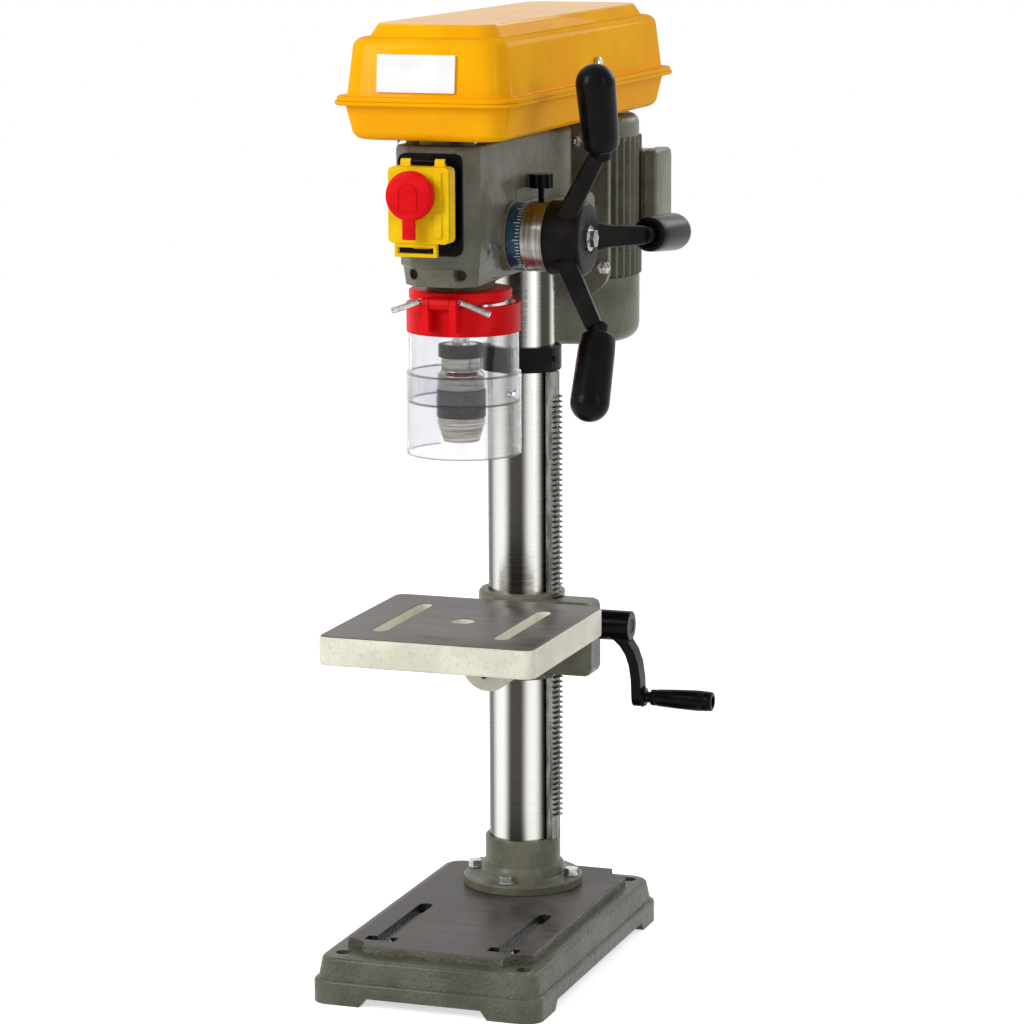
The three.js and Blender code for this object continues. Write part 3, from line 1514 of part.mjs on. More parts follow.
// Stepped pulley about Z: one V groove a step, wide end down, with a plain hub under it
function pulleyProfile(hubRadius, hubBottom) {
  const steps = Array.from({ length: pulleySteps }, (_, i) => pulleyLargest - i * pulleyStepDrop);
  const grooves = steps.flatMap((radius, i) => {
    const from = i * pulleyPitch;
    return [
      [radius, from],
      [radius - grooveDepth, from + pulleyPitch / 2],
      [radius, from + pulleyPitch],
    ];
  });
  const top = pulleySteps * pulleyPitch;
  return { below: [[hubRadius, hubBottom], [hubRadius, 0]], grooves, top };
}

function spindlePulley() {
  const bore = spindleRadius + seat;
  const hubBottom = quillTop + 4 * seat - pulleyBottom;
  const { below, grooves, top } = pulleyProfile(splineHubRadius, hubBottom);
  return turned([[bore, hubBottom], ...below, ...grooves, [bore, top], [bore, hubBottom]], boltFacets);
}

// The motor's pulley is the same casting upside down, on the motor's shaft
function motorPulley() {
  const { grooves, top } = pulleyProfile(splineHubRadius, 0);
  const shaftBottom = motorTop - motorShaftReach + seat - pulleyBottom;
  const flipped = grooves.map(([radius, z]) => [radius, top - z]).reverse();
  return turned([
    [0, shaftBottom],
    [spindleRadius, shaftBottom],
    [spindleRadius, 0],
    ...flipped,
    [0, top],
  ], boltFacets);
}

// Belt in the middle step of both pulleys, which are equal there
function driveBelt() {
  const bottom = pulleyLargest - Math.floor(pulleySteps / 2) * pulleyStepDrop - grooveDepth;
  const radius = bottom + (beltInnerWidth / 2 + seat) * grooveDepth / (pulleyPitch / 2) + 2 * seat;
  const span = throat + motorBehind;
  const arcSteps = 8;
  const path = [];
  for (let i = 0; i <= arcSteps; i++) path.push([Math.PI * i / arcSteps, span]);
  for (let i = 0; i <= arcSteps; i++) path.push([Math.PI + Math.PI * i / arcSteps, 0]);
  const section = [
    [0, -beltInnerWidth / 2],
    [beltThickness, -beltWidth / 2],
    [beltThickness, beltWidth / 2],
    [0, beltInnerWidth / 2],
  ];
  const rings = path.map(([angle, y]) => section.map(([out, z]) => new THREE.Vector3(
    (radius + out) * Math.cos(angle), y + (radius + out) * Math.sin(angle), z)));
  return geometryOf(solid(loft(rings, true)));
}

function coverLoop(inset, steps = largeCornerSteps) {
  return roundedLoop(
    -coverHalf + inset, coverHalf - inset, -coverFront + inset, coverBack - inset,
    Math.max(coverCorner - inset * 0.8, coverCorner / 4), steps);
}

// Rings of the pan from its floor up to the seam
function panRings() {
  return [
    atHeight(coverLoop(panDraft + panRound), panBottom),
    atHeight(coverLoop(panDraft + panRound * 0.3), panBottom + panRound * 0.3),
    atHeight(coverLoop(panDraft), panBottom + panRound),
    atHeight(coverLoop(0), seamBottom),
  ];
}

// The same rings a wall inside, with a plain bevel for the round
function panInnerRings() {
  return [
    atHeight(coverLoop(panDraft + panRound + coverWall, cornerSteps), panBottom + coverWall),
    atHeight(coverLoop(panDraft + coverWall * 1.5, cornerSteps), panBottom + panRound + coverWall),
    atHeight(coverLoop(coverWall, cornerSteps), seamBottom),
    atHeight(coverLoop(coverWall, cornerSteps), seamTop + overrun),
  ];
}

function hingeBarrels(spots, leafFrom, leafTo) {
  const x = -coverHalf - lipWidth - hingeRadius - seat;
  const z = seamTop + seat / 2;
  return spots.flatMap((y) => {
    const barrel = alongY(rod(hingeRadius, y + seat / 2, y + hingeKnuckle - seat / 2, pinFacets)).translate(x, 0, z);
    const leaf = block(x, -coverHalf - lipWidth + hingeLeafReach, y + seat / 2, y + hingeKnuckle - seat / 2, leafFrom, leafTo);
    return [barrel, leaf];
  });
}

const hingePlaces = [-hingeFrontY, hingeBackY];

// Floor pan of the cover, with an outward lip, shaft openings and its half of the hinge
function coverPan() {
  const outer = loft([
    ...panRings(),
    atHeight(coverLoop(lipRound - lipWidth), seamBottom),
    atHeight(coverLoop(-lipWidth), seamBottom + lipRound),
    atHeight(coverLoop(-lipWidth), seamTop),
  ]);
  const inner = loft(panInnerRings());
  const spindleHole = rod(splineHubRadius + coverShaftGap, panBottom - overrun, panBottom + overrun * 2)
    .translate(0, spindleY, 0);
  const shaftRoom = spindleRadius + coverShaftGap;
  const motorSlot = plate(
    roundedRectangle(-shaftRoom, shaftRoom, motorBehind - shaftRoom - beltTravel, motorBehind + shaftRoom, shaftRoom),
    panBottom - overrun, panBottom + overrun * 2);
  const outers = hingePlaces.flatMap((y) => [y, y + 2 * hingeKnuckle]);
  const leaves = hingeBarrels(outers, seamTop - hingeLeafThickness, seamTop);
  const shell = cutBy(solid(outer), solid(inner), solid(spindleHole), solid(motorSlot));
  return geometryOf(joined(shell, ...leaves.map(solid)));
}

// Rings of the lid's shoulder
function lidRings() {
  return [
    atHeight(coverLoop(panDraft), lidShoulder),
    atHeight(coverLoop(panDraft + panRound * 0.3), lidFlat - panRound * 0.3),
    atHeight(coverLoop(panDraft + panRound), lidFlat),
  ];
}

// Raised flat on top, drawn in by a wall on the inside
function lidPlateau(wall, steps = largeCornerSteps) {
  const base = plateauBaseInset + wall / 2;
  const loop = (grow) => roundedLoop(
    -coverHalf + base + grow, coverHalf - base - grow,
    -coverFront + base + plateauEndInset + grow, coverBack - base - grow - plateauEndInset / 4,
    coverCorner / 2, steps);
  return [
    atHeight(loop(0), lidFlat - wall),
    atHeight(loop(plateauSlope), lidFlat + plateauRise - wall),
  ];
}

// Lid of the cover: drafted sides, round shoulder and a raised flat, with a lip under it
function coverLid() {
  const outer = loft([
    atHeight(coverLoop(-lipWidth), lidBottom),
    atHeight(coverLoop(-lipWidth), lidLipTop - lipRound),
    atHeight(coverLoop(lipRound - lipWidth), lidLipTop),
    atHeight(coverLoop(0), lidLipTop),
    ...lidRings(),
    ...lidPlateau(0),
  ]);
  const inner = loft([
    atHeight(coverLoop(coverWall, cornerSteps), lidBottom - overrun),
    atHeight(coverLoop(panDraft + coverWall, cornerSteps), lidShoulder - coverWall),
    atHeight(coverLoop(panDraft + panRound + coverWall, cornerSteps), lidFlat - coverWall),
    ...lidPlateau(coverWall, cornerSteps),
  ]);
  const screwHole = alongX(rod(lidScrewRadius + seat, coverHalf / 2, coverHalf + overrun, pinFacets));
  screwHole.translate(0, lidScrewY, lidScrewZ);
  const leaves = hingeBarrels(hingePlaces.map((y) => y + hingeKnuckle), lidBottom, lidBottom + hingeLeafThickness);
  const shell = cutBy(solid(outer), solid(inner), solid(screwHole));
  return geometryOf(joined(shell, ...leaves.map(solid)));
}

// Lid's side face at a height, along its draft
const lidFaceAt = (z) => coverHalf - panDraft * (z - lidLipTop) / (lidShoulder - lidLipTop);

function lidScrew() {
  const face = seat;
  const shank = rod(lidScrewRadius, -coverWall * 4, face + lidScrewHeadHeight / 2, pinFacets);
  const head = turned([
    [0, face],
    [lidScrewHead, face],
    [lidScrewHead, face + lidScrewHeadHeight * 0.7],
    [lidScrewHead * 0.8, face + lidScrewHeadHeight],
    [0, face + lidScrewHeadHeight],
  ], boltFacets);
  return alongX(geometryOf(joined(solid(shank), solid(head))));
}

// Switch frame: x across, y back into the head, z from the column frame
const switchFace = headFrontY - seat - switchPlate;
const boxFace = switchFace - switchBoxDepth;
const flapHingeZ = flapTop + flapHingeRise;
const flapHingeY = boxFace - flapHingeRadius - seat;

function switchBase() {
  const back = headFrontY - seat;
  const slab = plateAlongY(
    roundedRectangle(-switchHalf, switchHalf, switchBottom, switchTop, switchCorner), switchFace, back);
  const box = plateAlongY(roundedRectangle(
    -switchBoxHalf, switchBoxHalf, switchBottom + switchBoxInset, flapTop - flapWall, switchCorner / 2),
  boxFace, back - switchPlate / 2);
  const gap = flapKnuckleX - flapKnuckle / 2 - seat;
  const pin = alongX(rod(flapHingeRadius / 2, -flapKnuckleX - flapKnuckle / 2, flapKnuckleX + flapKnuckle / 2, pinFacets))
    .translate(0, flapHingeY, flapHingeZ);
  const lug = block(
    -gap, gap, flapHingeY, switchFace + switchPlate / 3,
    flapHingeZ - flapHingeRadius, flapHingeZ + flapHingeRadius);
  const barrel = alongX(rod(flapHingeRadius, -gap, gap, pinFacets)).translate(0, flapHingeY, flapHingeZ);
  const wells = [[paddleX, paddleZ, stopRadius], [startX, paddleZ, startRadius]].map(([x, z, radius]) =>
    alongY(rod(radius + seat, boxFace - overrun, boxFace + buttonDepth + seat, boltFacets)).translate(x, 0, z));
  return geometryOf(cutBy(joined(...[slab, box, pin, lug, barrel].map(solid)), ...wells.map(solid)));
}

// Flap about its hinge at the top: a shallow tray open toward the switch
function switchCover() {
  const back = boxFace - flapStand;
  const front = back - flapDepth;
  const outer = plateAlongY(roundedRectangle(-flapHalf, flapHalf, flapBottom, flapTop, flapCorner), front, back);
  const inner = plateAlongY(roundedRectangle(
    -flapHalf + flapWall, flapHalf - flapWall, flapBottom + flapWall, flapTop - flapWall, flapCorner / 2),
  front + flapWall, back + overrun);
  const catchLip = plateAlongY(roundedRectangle(
    -catchHalf, catchHalf, flapBottom - catchDrop, flapBottom + flapWall, flapWall), front + flapDepth / 2, back);
  const knuckles = [-flapKnuckleX, flapKnuckleX].flatMap((x) => {
    const from = x - flapKnuckle / 2;
    const barrel = alongX(rod(flapHingeRadius, from, from + flapKnuckle, pinFacets)).translate(0, flapHingeY, flapHingeZ);
    const arm = block(from, from + flapKnuckle, flapHingeY - flapHingeRadius, back, flapTop - flapWall, flapHingeZ);
    return [barrel, arm];
  });
  const pinBore = alongX(rod(flapHingeRadius / 2 + seat, -flapHalf, flapHalf, pinFacets))
    .translate(0, flapHingeY, flapHingeZ);
  const stemHole = alongY(rod(paddleStem + seat, front - overrun, front + flapWall + overrun, boltFacets))
    .translate(paddleX, 0, paddleZ);
  const tray = cutBy(solid(outer), solid(inner));
  const whole = joined(tray, solid(catchLip), ...knuckles.map(solid));
  return geometryOf(cutBy(whole, solid(pinBore), solid(stemHole)).translate([0, -flapHingeY, -flapHingeZ]));
}

// Stop paddle about its own axis along Y; y = 0 on the flap's front
function stopPaddle() {
  const front = -paddleStand - paddleThickness;
  const stemEnd = flapDepth + flapStand - buttonProud - seat;
  return alongY(turned([
    [0, front],
    [paddleRadius - paddleRound, front],
    [paddleRadius - paddleRound * 0.3, front + paddleRound * 0.3],
    [paddleRadius, front + paddleRound],
    [paddleRadius, -paddleStand],
    [paddleStem, -paddleStand],
    [paddleStem, stemEnd],
    [0, stemEnd],
  ]));
}

function button(radius) {
  return alongY(turned([
    [0, -buttonProud],
    [radius - buttonRound, -buttonProud],
    [radius, -buttonProud + buttonRound],
    [radius, buttonDepth - buttonTravel],
    [0, buttonDepth - buttonTravel],
  ], boltFacets));
}

// Guard collar about the spindle axis, with the lug and pin that the guard hinges on
function guardCollar() {
  const top = noseBottom + guardCollarHeight;
  const bottom = noseBottom;
  const bore = noseRadius + seat;
  const ring = turned([
    [bore, bottom],
    [guardCollarStep, bottom],
    [guardCollarStep, bottom + guardCollarStepHeight],
    [guardCollarRadius, bottom + guardCollarStepHeight],
    [guardCollarRadius, top - guardCollarRound],
    [guardCollarRadius - guardCollarRound, top],
    [bore, top],
    [bore, bottom],
  ]);
  const pinY = guardPinY - spindleY;
  const lugBack = -guardCollarStep + 2 * guardCollarRound;
  const lug = block(-guardLugHalf, guardLugHalf, pinY, lugBack, guardPinZ - guardPinRadius, guardPinZ + guardLugRadius);
  const barrel = alongX(rod(guardLugRadius, -guardLugHalf, guardLugHalf, pinFacets)).translate(0, pinY, guardPinZ);
  const reach = guardLugHalf + seat + guardEarThickness;
  const pin = alongX(rod(guardPinRadius, -reach, reach, pinFacets)).translate(0, pinY, guardPinZ);
  return geometryOf(joined(...[ring, lug, barrel, pin].map(solid)));
}

// Carrier about the guard's own axis: a flanged band open at the back, with two hinge ears
function guardCarrier() {
  const opening = radians(guardOpening);
  const bandBottom = bandTop - bandDepth;
  const bandInner = tubeRadius + seat;
  const band = plate(openRing(bandInner, bandRadius, opening), bandBottom, bandTop, arcFacets);
  const flange = plate(
    openRing(bandRadius - bandFlange, bandRadius, opening), bandTop - bandFlangeThickness, bandTop, arcFacets);
  const pinY = guardPinY - guardY;
  const earStart = guardLugHalf + seat;
  const ears = [-earStart - guardEarThickness, earStart].flatMap((x) => {
    const barrel = alongX(rod(guardLugRadius, x, x + guardEarThickness, pinFacets)).translate(0, pinY, guardPinZ);
    const web = new THREE.Shape();
    web.moveTo(pinY - guardLugRadius, bandBottom + guardLugRadius);
    web.lineTo(guardEarThickness - bandInner, bandBottom + guardLugRadius);
    web.lineTo(guardEarThickness - bandInner, bandTop);
    web.lineTo(pinY + guardLugRadius / 2, bandTop);
    web.lineTo(pinY + guardLugRadius / 2, guardPinZ);
    web.lineTo(pinY - guardLugRadius, guardPinZ);
    return [barrel, plateAlongX(web, x, x + guardEarThickness)];
  });
  const tubeRoom = solid(rod(bandInner + seat, bandBottom - overrun, bandTop - bandFlangeThickness, fineFacets));
  const bore = alongX(rod(guardPinRadius + seat, -bandRadius, bandRadius, pinFacets)).translate(0, pinY, guardPinZ);
  const hinge = cutBy(joined(...ears.map(solid)), tubeRoom, solid(bore));
  return geometryOf(joined(solid(band), solid(flange), hinge));
}

function guardTube() {
  const wall = plate(openRing(tubeRadius - tubeWall, tubeRadius, radians(guardOpening)), tubeBottom, tubeTop, arcFacets);
  const half = guardLockRadius + 2 * seat;
  const slot = roundedRectangle(
    -half, half, guardLockZ - half, guardLockZ + sleeveTravel + half, half);
  const cutter = plateAlongX(slot, tubeRadius - tubeWall - overrun, tubeRadius + overrun);
  return geometryOf(cutBy(solid(wall), solid(cutter.rotateZ(radians(guardLockAngle)))));
}

function guardSleeve() {
  const wall = plate(
    openRing(tubeRadius + 1.4 * seat, sleeveRadius, radians(guardOpening)), sleeveBottom, sleeveTop, arcFacets);
  const hole = alongX(rod(guardLockRadius + seat, tubeRadius - overrun, sleeveRadius + overrun, pinFacets));
  hole.rotateZ(radians(guardLockAngle)).translate(0, 0, guardLockZ);
  return geometryOf(cutBy(solid(wall), solid(hole)));
}

function guardLockScrew() {
  const face = sleeveRadius + seat;
  const shank = rod(
    guardLockRadius, tubeRadius - tubeWall - guardLockRadius / 2, face + guardLockHeadHeight / 2, pinFacets);
  const head = rod(guardLockHead, face, face + guardLockHeadHeight, pinFacets);
  return alongX(geometryOf(joined(solid(shank), solid(head))));
}

const press = new THREE.Group();
const stand = new THREE.Group();
press.add(stand);

function add(parent, name, geometry, material, x = 0, y = 0, z = 0) {
  const mesh = new THREE.Mesh(geometry, material);
  mesh.name = name;
  mesh.position.set(x, y, z);
  parent.add(mesh);
  return mesh;
}

function groupAt(parent, x, y, z) {
  const group = new THREE.Group();
  group.position.set(x, y, z);
  parent.add(group);
  return group;
}

function buildStand() {
  add(stand, 'base_casting', baseCasting(), greyPaint);
  add(stand, 'column_flange', columnFlange(), greyPaint);
  boltPlaces().forEach(([x, y], i) =>
    add(stand, `flange_bolt_${i + 1}`, flangeBolt(), brightSteel, x, y, flangeTop + seat));
  add(stand, 'column', columnTube(), groundSteel);
  add(stand, 'rack_collar', rackCollar(), blackSteel);
  add(stand, 'rack', rackBar(), groundSteel).rotation.z = radians(rackAngle);
}

function buildTable() {
  add(stand, 'table_bracket', tableBracket(), greyPaint);
  const side = groupAt(stand, 0, 0, pinionZ);
  side.rotation.z = radians(rackAngle);
  add(side, 'table_pinion', liftPinion(), blackSteel, liftPinionAt).rotation.x = -Math.PI / 2;
  const worm = add(stand, 'crank_worm', crankWorm(), blackSteel, 0, gearBlockY, crankZ);
  worm.rotation.y = Math.PI / 2;
  add(stand, 'crank_arm', crankArm(), blackPlastic, 0, gearBlockY, crankZ);
  const grip = add(stand, 'crank_grip', crankGrip(), blackPlastic, crankStudEnd + seat, gearBlockY, crankZ - crankRadius);
  grip.rotation.y = Math.PI / 2;
  const ears = groupAt(stand, 0, 0, ringBottom + earRise + earHeight / 2);
  ears.rotation.z = radians(clampAngle);
  add(ears, 'table_clamp_lever', clampLever(), blackPlastic, clampBoltAt).rotation.z = Math.PI;
  const tilt = groupAt(stand, 0, 0, tiltZ);
  add(tilt, 'table', tableCasting(), creamPaint);
  add(tilt, 'tilt_bolt', tiltBolt(), blackSteel);
}

function buildHead() {
  add(stand, 'head_casting', headCasting(), greyPaint);
  const axis = groupAt(stand, 0, spindleY, 0);
  add(axis, 'quill', quill(), brightSteel);
  add(axis, 'spindle', spindle(), brightSteel);
  add(axis, 'chuck_body', chuckBody(), groundSteel);
  add(axis, 'chuck_sleeve', chuckSleeve(), blackSteel);
  for (let i = 0; i < 3; i++) {
    const jaw = add(axis, `chuck_jaw_${i + 1}`, chuckJaw(), brightSteel, 0, 0, chuckHeights.nose);
    jaw.rotation.z = 2 * Math.PI * i / 3;
  }
  add(axis, 'spindle_pulley', spindlePulley(), castAluminium, 0, 0, pulleyBottom);
  add(axis, 'drive_belt', driveBelt(), beltRubber, 0, 0, pulleyBottom + pulleySteps * pulleyPitch / 2);
}

function buildFeed() {
  const feed = groupAt(stand, 0, feedY, feedZ);
  feed.rotation.y = Math.PI / 2;
  add(feed, 'feed_shaft', feedShaft(), brightSteel);
  add(feed, 'depth_ring', depthRing(), bluePaint);
  add(feed, 'feed_collar', feedCollar(), groundSteel);
  add(feed, 'feed_hub', feedHub(), blackSteel);
  for (let i = 0; i < armCount; i++) {
    const spoke = groupAt(feed, 0, 0, 0);
    spoke.rotation.z = radians(armFirst + 360 * i / armCount);
    add(spoke, `feed_arm_${i + 1}`, feedArm(), blackSteel);
    const grip = add(spoke, `feed_grip_${i + 1}`, feedGrip(), blackPlastic, 0, armTipRho, armTipX);
    grip.rotation.x = -Math.PI / 2 + radians(gripLean);
  }
  add(stand, 'return_spring_housing', springCase(), blackSteel, 0, feedY, feedZ);
  const pointerFront = feedY - sideBossRadius - pointerLength;
  add(stand, 'depth_pointer', depthPointer(), brightSteel, headHalf - pointerLift, pointerFront, feedZ - pointerHeight / 2);
  add(stand, 'tension_knob', lockKnob(), blackPlastic, lockKnobX, lockKnobY, lockKnobBottom);
}

function buildMotor() {
  add(stand, 'motor_plate', motorPlate(), greyPaint);
  const motor = groupAt(stand, 0, motorBehind, 0);
  add(motor, 'motor_body', motorBody(), greyPaint);
  add(motor, 'motor_cup', motorCup(), greyPaint);
  add(motor, 'motor_pulley', motorPulley(), castAluminium, 0, 0, pulleyBottom);
  add(stand, 'terminal_box', terminalBox(), greyPaint);
}

function buildCover() {
  add(stand, 'cover_pan', coverPan(), yellowPaint);
  add(stand, 'cover_lid', coverLid(), yellowPaint);
  add(stand, 'lid_screw', lidScrew(), brightSteel, lidFaceAt(lidScrewZ - lidScrewHead), lidScrewY, lidScrewZ);
}

function buildSwitch() {
  add(stand, 'switch_base', switchBase(), blackPlastic);
  add(stand, 'switch_cover', switchCover(), yellowPlastic, 0, flapHingeY, flapHingeZ);
  add(stand, 'stop_paddle', stopPaddle(), redPlastic, paddleX, boxFace - flapStand - flapDepth, paddleZ);
  add(stand, 'stop_button', button(stopRadius), redPlastic, paddleX, boxFace, paddleZ);
  add(stand, 'start_button', button(startRadius), greenPlastic, startX, boxFace, paddleZ);
}

function buildGuard() {
  add(stand, 'guard_collar', guardCollar(), redPlastic, 0, spindleY, 0);
  const guard = groupAt(stand, 0, guardY, 0);
  add(guard, 'guard_carrier', guardCarrier(), redPlastic);
  add(guard, 'guard_tube', guardTube(), clearPlastic);
  add(guard, 'guard_sleeve', guardSleeve(), clearPlastic);
  const screw = add(guard, 'guard_lock_screw', guardLockScrew(), brightSteel, 0, 0, guardLockZ);
  screw.rotation.z = radians(guardLockAngle);
  const rings = springRings(springRadius, springWire, springLength, springCurls);
  console.log('least gap between spring turns, mm:', leastSpringGap(rings, springWire).toFixed(2));
  const start = guardLugHalf + guardEarThickness + 2 * seat + springRadius * Math.sin(radians(springDroop));
  [['guard_spring_left', -1], ['guard_spring_right', 1]].forEach(([name, side]) => {
    const spring = add(stand, name, loft(rings), brightSteel, side * start, guardPinY, guardPinZ + springRise);
    spring.rotation.set(0, side * (Math.PI / 2 + radians(springDroop)), side < 0 ? Math.PI : 0);
  });
}

buildStand();
buildTable();
buildHead();
buildFeed();
buildMotor();
buildCover();
buildSwitch();
buildGuard();

press.updateMatrixWorld(true);
const bounds = new THREE.Box3().setFromObject(stand, true);
const middle = bounds.getCenter(new THREE.Vector3());
stand.position.set(-middle.x, -middle.y, -bounds.min.z);
press.updateMatrixWorld(true);

export default press;
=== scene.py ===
# %% [markdown]
# # A benchtop drill press
# A small drill press stands on a slotted iron base. A ground steel column carries a table
# that climbs a rack, and a cast head with the belt cover, motor, quill feed and guard.
# The moving solids come ready made as a fixed frame. This lesson dresses them: every solid
# gets a finish, and the pieces that the eye rests on are modelled again with round edges.

# %% Load the frame
import json
import math

import bmesh
import bpy
from mathutils import Matrix, Vector

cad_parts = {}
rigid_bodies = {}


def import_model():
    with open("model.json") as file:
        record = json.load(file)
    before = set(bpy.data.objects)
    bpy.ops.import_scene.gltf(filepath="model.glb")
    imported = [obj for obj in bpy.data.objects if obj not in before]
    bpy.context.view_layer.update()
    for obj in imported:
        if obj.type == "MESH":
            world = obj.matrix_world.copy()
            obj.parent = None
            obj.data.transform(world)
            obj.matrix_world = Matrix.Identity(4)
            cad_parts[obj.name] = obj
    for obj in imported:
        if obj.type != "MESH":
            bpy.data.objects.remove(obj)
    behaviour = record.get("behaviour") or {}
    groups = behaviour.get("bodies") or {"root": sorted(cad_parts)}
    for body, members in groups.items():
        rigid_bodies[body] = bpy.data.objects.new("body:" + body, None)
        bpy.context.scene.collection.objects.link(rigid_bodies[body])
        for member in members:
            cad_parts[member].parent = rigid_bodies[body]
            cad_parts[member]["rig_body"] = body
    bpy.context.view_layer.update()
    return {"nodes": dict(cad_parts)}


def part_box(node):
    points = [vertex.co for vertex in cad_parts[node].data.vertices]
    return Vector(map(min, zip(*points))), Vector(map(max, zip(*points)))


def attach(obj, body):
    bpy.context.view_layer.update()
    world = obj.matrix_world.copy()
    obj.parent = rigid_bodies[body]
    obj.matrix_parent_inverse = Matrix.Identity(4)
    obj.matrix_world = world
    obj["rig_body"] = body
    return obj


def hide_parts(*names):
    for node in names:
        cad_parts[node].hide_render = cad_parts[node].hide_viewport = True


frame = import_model()
solids = frame["nodes"]

# %% [markdown]
# All pieces below are drawn in millimetres round the column's axis, because that is how a
# drill press is laid out. One matrix takes them to the frame, in metres. The column's own
# solid says where that axis stands, so nothing has to be fitted by hand.

# %% The column's axis
column_low, column_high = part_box("column")
AXIS_X, AXIS_Y = (column_low.x + column_high.x) / 2, (column_low.y + column_high.y) / 2
MILLIMETRE = 0.001
TO_FRAME = Matrix.Translation((AXIS_X, AXIS_Y, 0)) @ Matrix.Scale(MILLIMETRE, 4)
UP, RIGHT, BACK = (0, 0, 1), (1, 0, 0), (0, 1, 0)
print("column axis at", round(AXIS_X, 4), round(AXIS_Y, 4))

# %% [markdown]
# The photograph was taken with a long lens, from the machine's right and a little above.
# A camera looks along its own minus Z, so its matrix has the right, up and backward
# directions as columns. The directions follow from two turns and a slight roll.

# %% Camera
TURN, DOWN, ROLL = math.radians(19.219), math.radians(10.259), math.radians(-0.233)
CAMERA_PLACE = Vector((1104.565, -3195.179, 1000.744))
LENS, SENSOR = 134.73, 36.0

look = Vector((-math.sin(TURN) * math.cos(DOWN), math.cos(TURN) * math.cos(DOWN),
               -math.sin(DOWN)))
level = Vector((math.cos(TURN), math.sin(TURN), 0))
upright = level.cross(look)
right = level * math.cos(ROLL) + upright * math.sin(ROLL)
top = upright * math.cos(ROLL) - level * math.sin(ROLL)
lens = bpy.data.cameras.new("photo_camera")
lens.lens, lens.sensor_width, lens.sensor_fit = LENS, SENSOR, "HORIZONTAL"
lens.clip_end = 100
camera = bpy.data.objects.new("photo_camera", lens)
camera.matrix_world = (Matrix.Translation(TO_FRAME @ CAMERA_PLACE)
                       @ Matrix((right, top, -look)).transposed().to_4x4())
bpy.context.scene.collection.objects.link(camera)
bpy.context.scene.camera = camera
bpy.context.scene.view_settings.view_transform = "Standard"
print("the camera stands", round((TO_FRAME @ CAMERA_PLACE).length, 2), "m away")

# %% [markdown]
# Shader maths reads best as arithmetic. A Wire is one output socket, and its operators add
# Math nodes. A Drawing is one node tree, and its node method makes every other node: it takes
# the type, the settings, and the sockets' values or wires.

# %% Wires and drawings
class Wire:
    """One output socket; arithmetic on it adds Math nodes."""

    def __init__(self, drawing, socket):
        self.drawing, self.socket = drawing, socket

    def math(self, operation, first, second=0.0):
        return self.drawing.node("Math", {"operation": operation}, {0: first, 1: second})

    def __add__(self, other): return self.math("ADD", self, other)
    def __sub__(self, other): return self.math("SUBTRACT", self, other)
    def __rsub__(self, other): return self.math("SUBTRACT", other, self)
    def __mul__(self, other): return self.math("MULTIPLY", self, other)
    def __gt__(self, other): return self.math("GREATER_THAN", self, other)
    def __lt__(self, other): return self.math("LESS_THAN", self, other)
    __radd__, __rmul__ = __add__, __mul__

    def sine(self): return self.math("SINE", self)
    def fraction(self): return self.math("FRACT", self)
    def size(self): return self.math("ABSOLUTE", self)
    def larger(self, other): return self.math("MAXIMUM", self, other)


class Drawing:
    """A node tree that is drawn node by node."""

    def __init__(self, tree):
        self.tree = tree

    def node(self, kind, settings=None, sockets=None, out=0):
        made = self.tree.nodes.new("ShaderNode" + kind)
        for name, value in (settings or {}).items():
            setattr(made, name, value)
        for name, value in (sockets or {}).items():
            if isinstance(value, Wire):
                self.tree.links.new(value.socket, made.inputs[name])
            else:
                made.inputs[name].default_value = value
        return Wire(self, made.outputs[out]) if made.outputs else None

    def seen_directly(self):
        """1 where the camera, a reflection or a look through glass sees the surface."""
        eye, gloss, glass = (self.node("LightPath", out=f"Is {ray} Ray")
                             for ray in ("Camera", "Glossy", "Transmission"))
        return eye.larger(gloss).larger(glass)


print("shader helpers ready")

# %% [markdown]
# The floor and the surroundings are white, as in a product photograph. The world's white is
# shown to the camera, to gloss and to glass, while the light that it sheds stays plain. The
# floor adds a glow for the camera alone, so it fades into the world and still holds a shadow.

# %% World and floor
SHED_LIGHT, FLOOR_GLOW, FLOOR_SIZE = 0.55, 0.62, 9.0
WHITE = (1, 1, 1, 1)

world = bpy.data.worlds.new("studio")
world.use_nodes = True
bpy.context.scene.world = world
world.node_tree.nodes.clear()
sky = Drawing(world.node_tree)
plain = sky.node("Background", {}, {"Color": WHITE, "Strength": SHED_LIGHT})
white = sky.node("Background", {}, {"Color": WHITE, "Strength": 1.0})
shown = sky.node("MixShader", {}, {0: sky.seen_directly(), 1: plain, 2: white})
sky.node("OutputWorld", {}, {"Surface": shown})

floor_finish = bpy.data.materials.new("studio_floor")
floor_finish.use_nodes = True
floor_finish.node_tree.nodes.clear()
paper = Drawing(floor_finish.node_tree)
matt = paper.node("BsdfDiffuse", {}, {"Color": (0.8, 0.8, 0.8, 1)})
glow = paper.node("Emission", {}, {"Color": WHITE, "Strength": paper.seen_directly() * FLOOR_GLOW})
paper.node("OutputMaterial", {}, {"Surface": paper.node("AddShader", {}, {0: matt, 1: glow})})

sheet = bmesh.new()
bmesh.ops.create_grid(sheet, x_segments=1, y_segments=1, size=FLOOR_SIZE / 2)
floor_mesh = bpy.data.meshes.new("studio_floor")
sheet.to_mesh(floor_mesh)
sheet.free()
floor_mesh.materials.append(floor_finish)
floor = bpy.data.objects.new("studio_floor", floor_mesh)
bpy.context.scene.collection.objects.link(floor)
print("floor", FLOOR_SIZE, "m square")

# %% [markdown]
# Soft boxes give the long highlights on the enamel and the steel. Each is an area lamp that
# faces the machine. Its power grows with the square of its distance, so the level on the
# machine is chosen first and the watts follow from it.

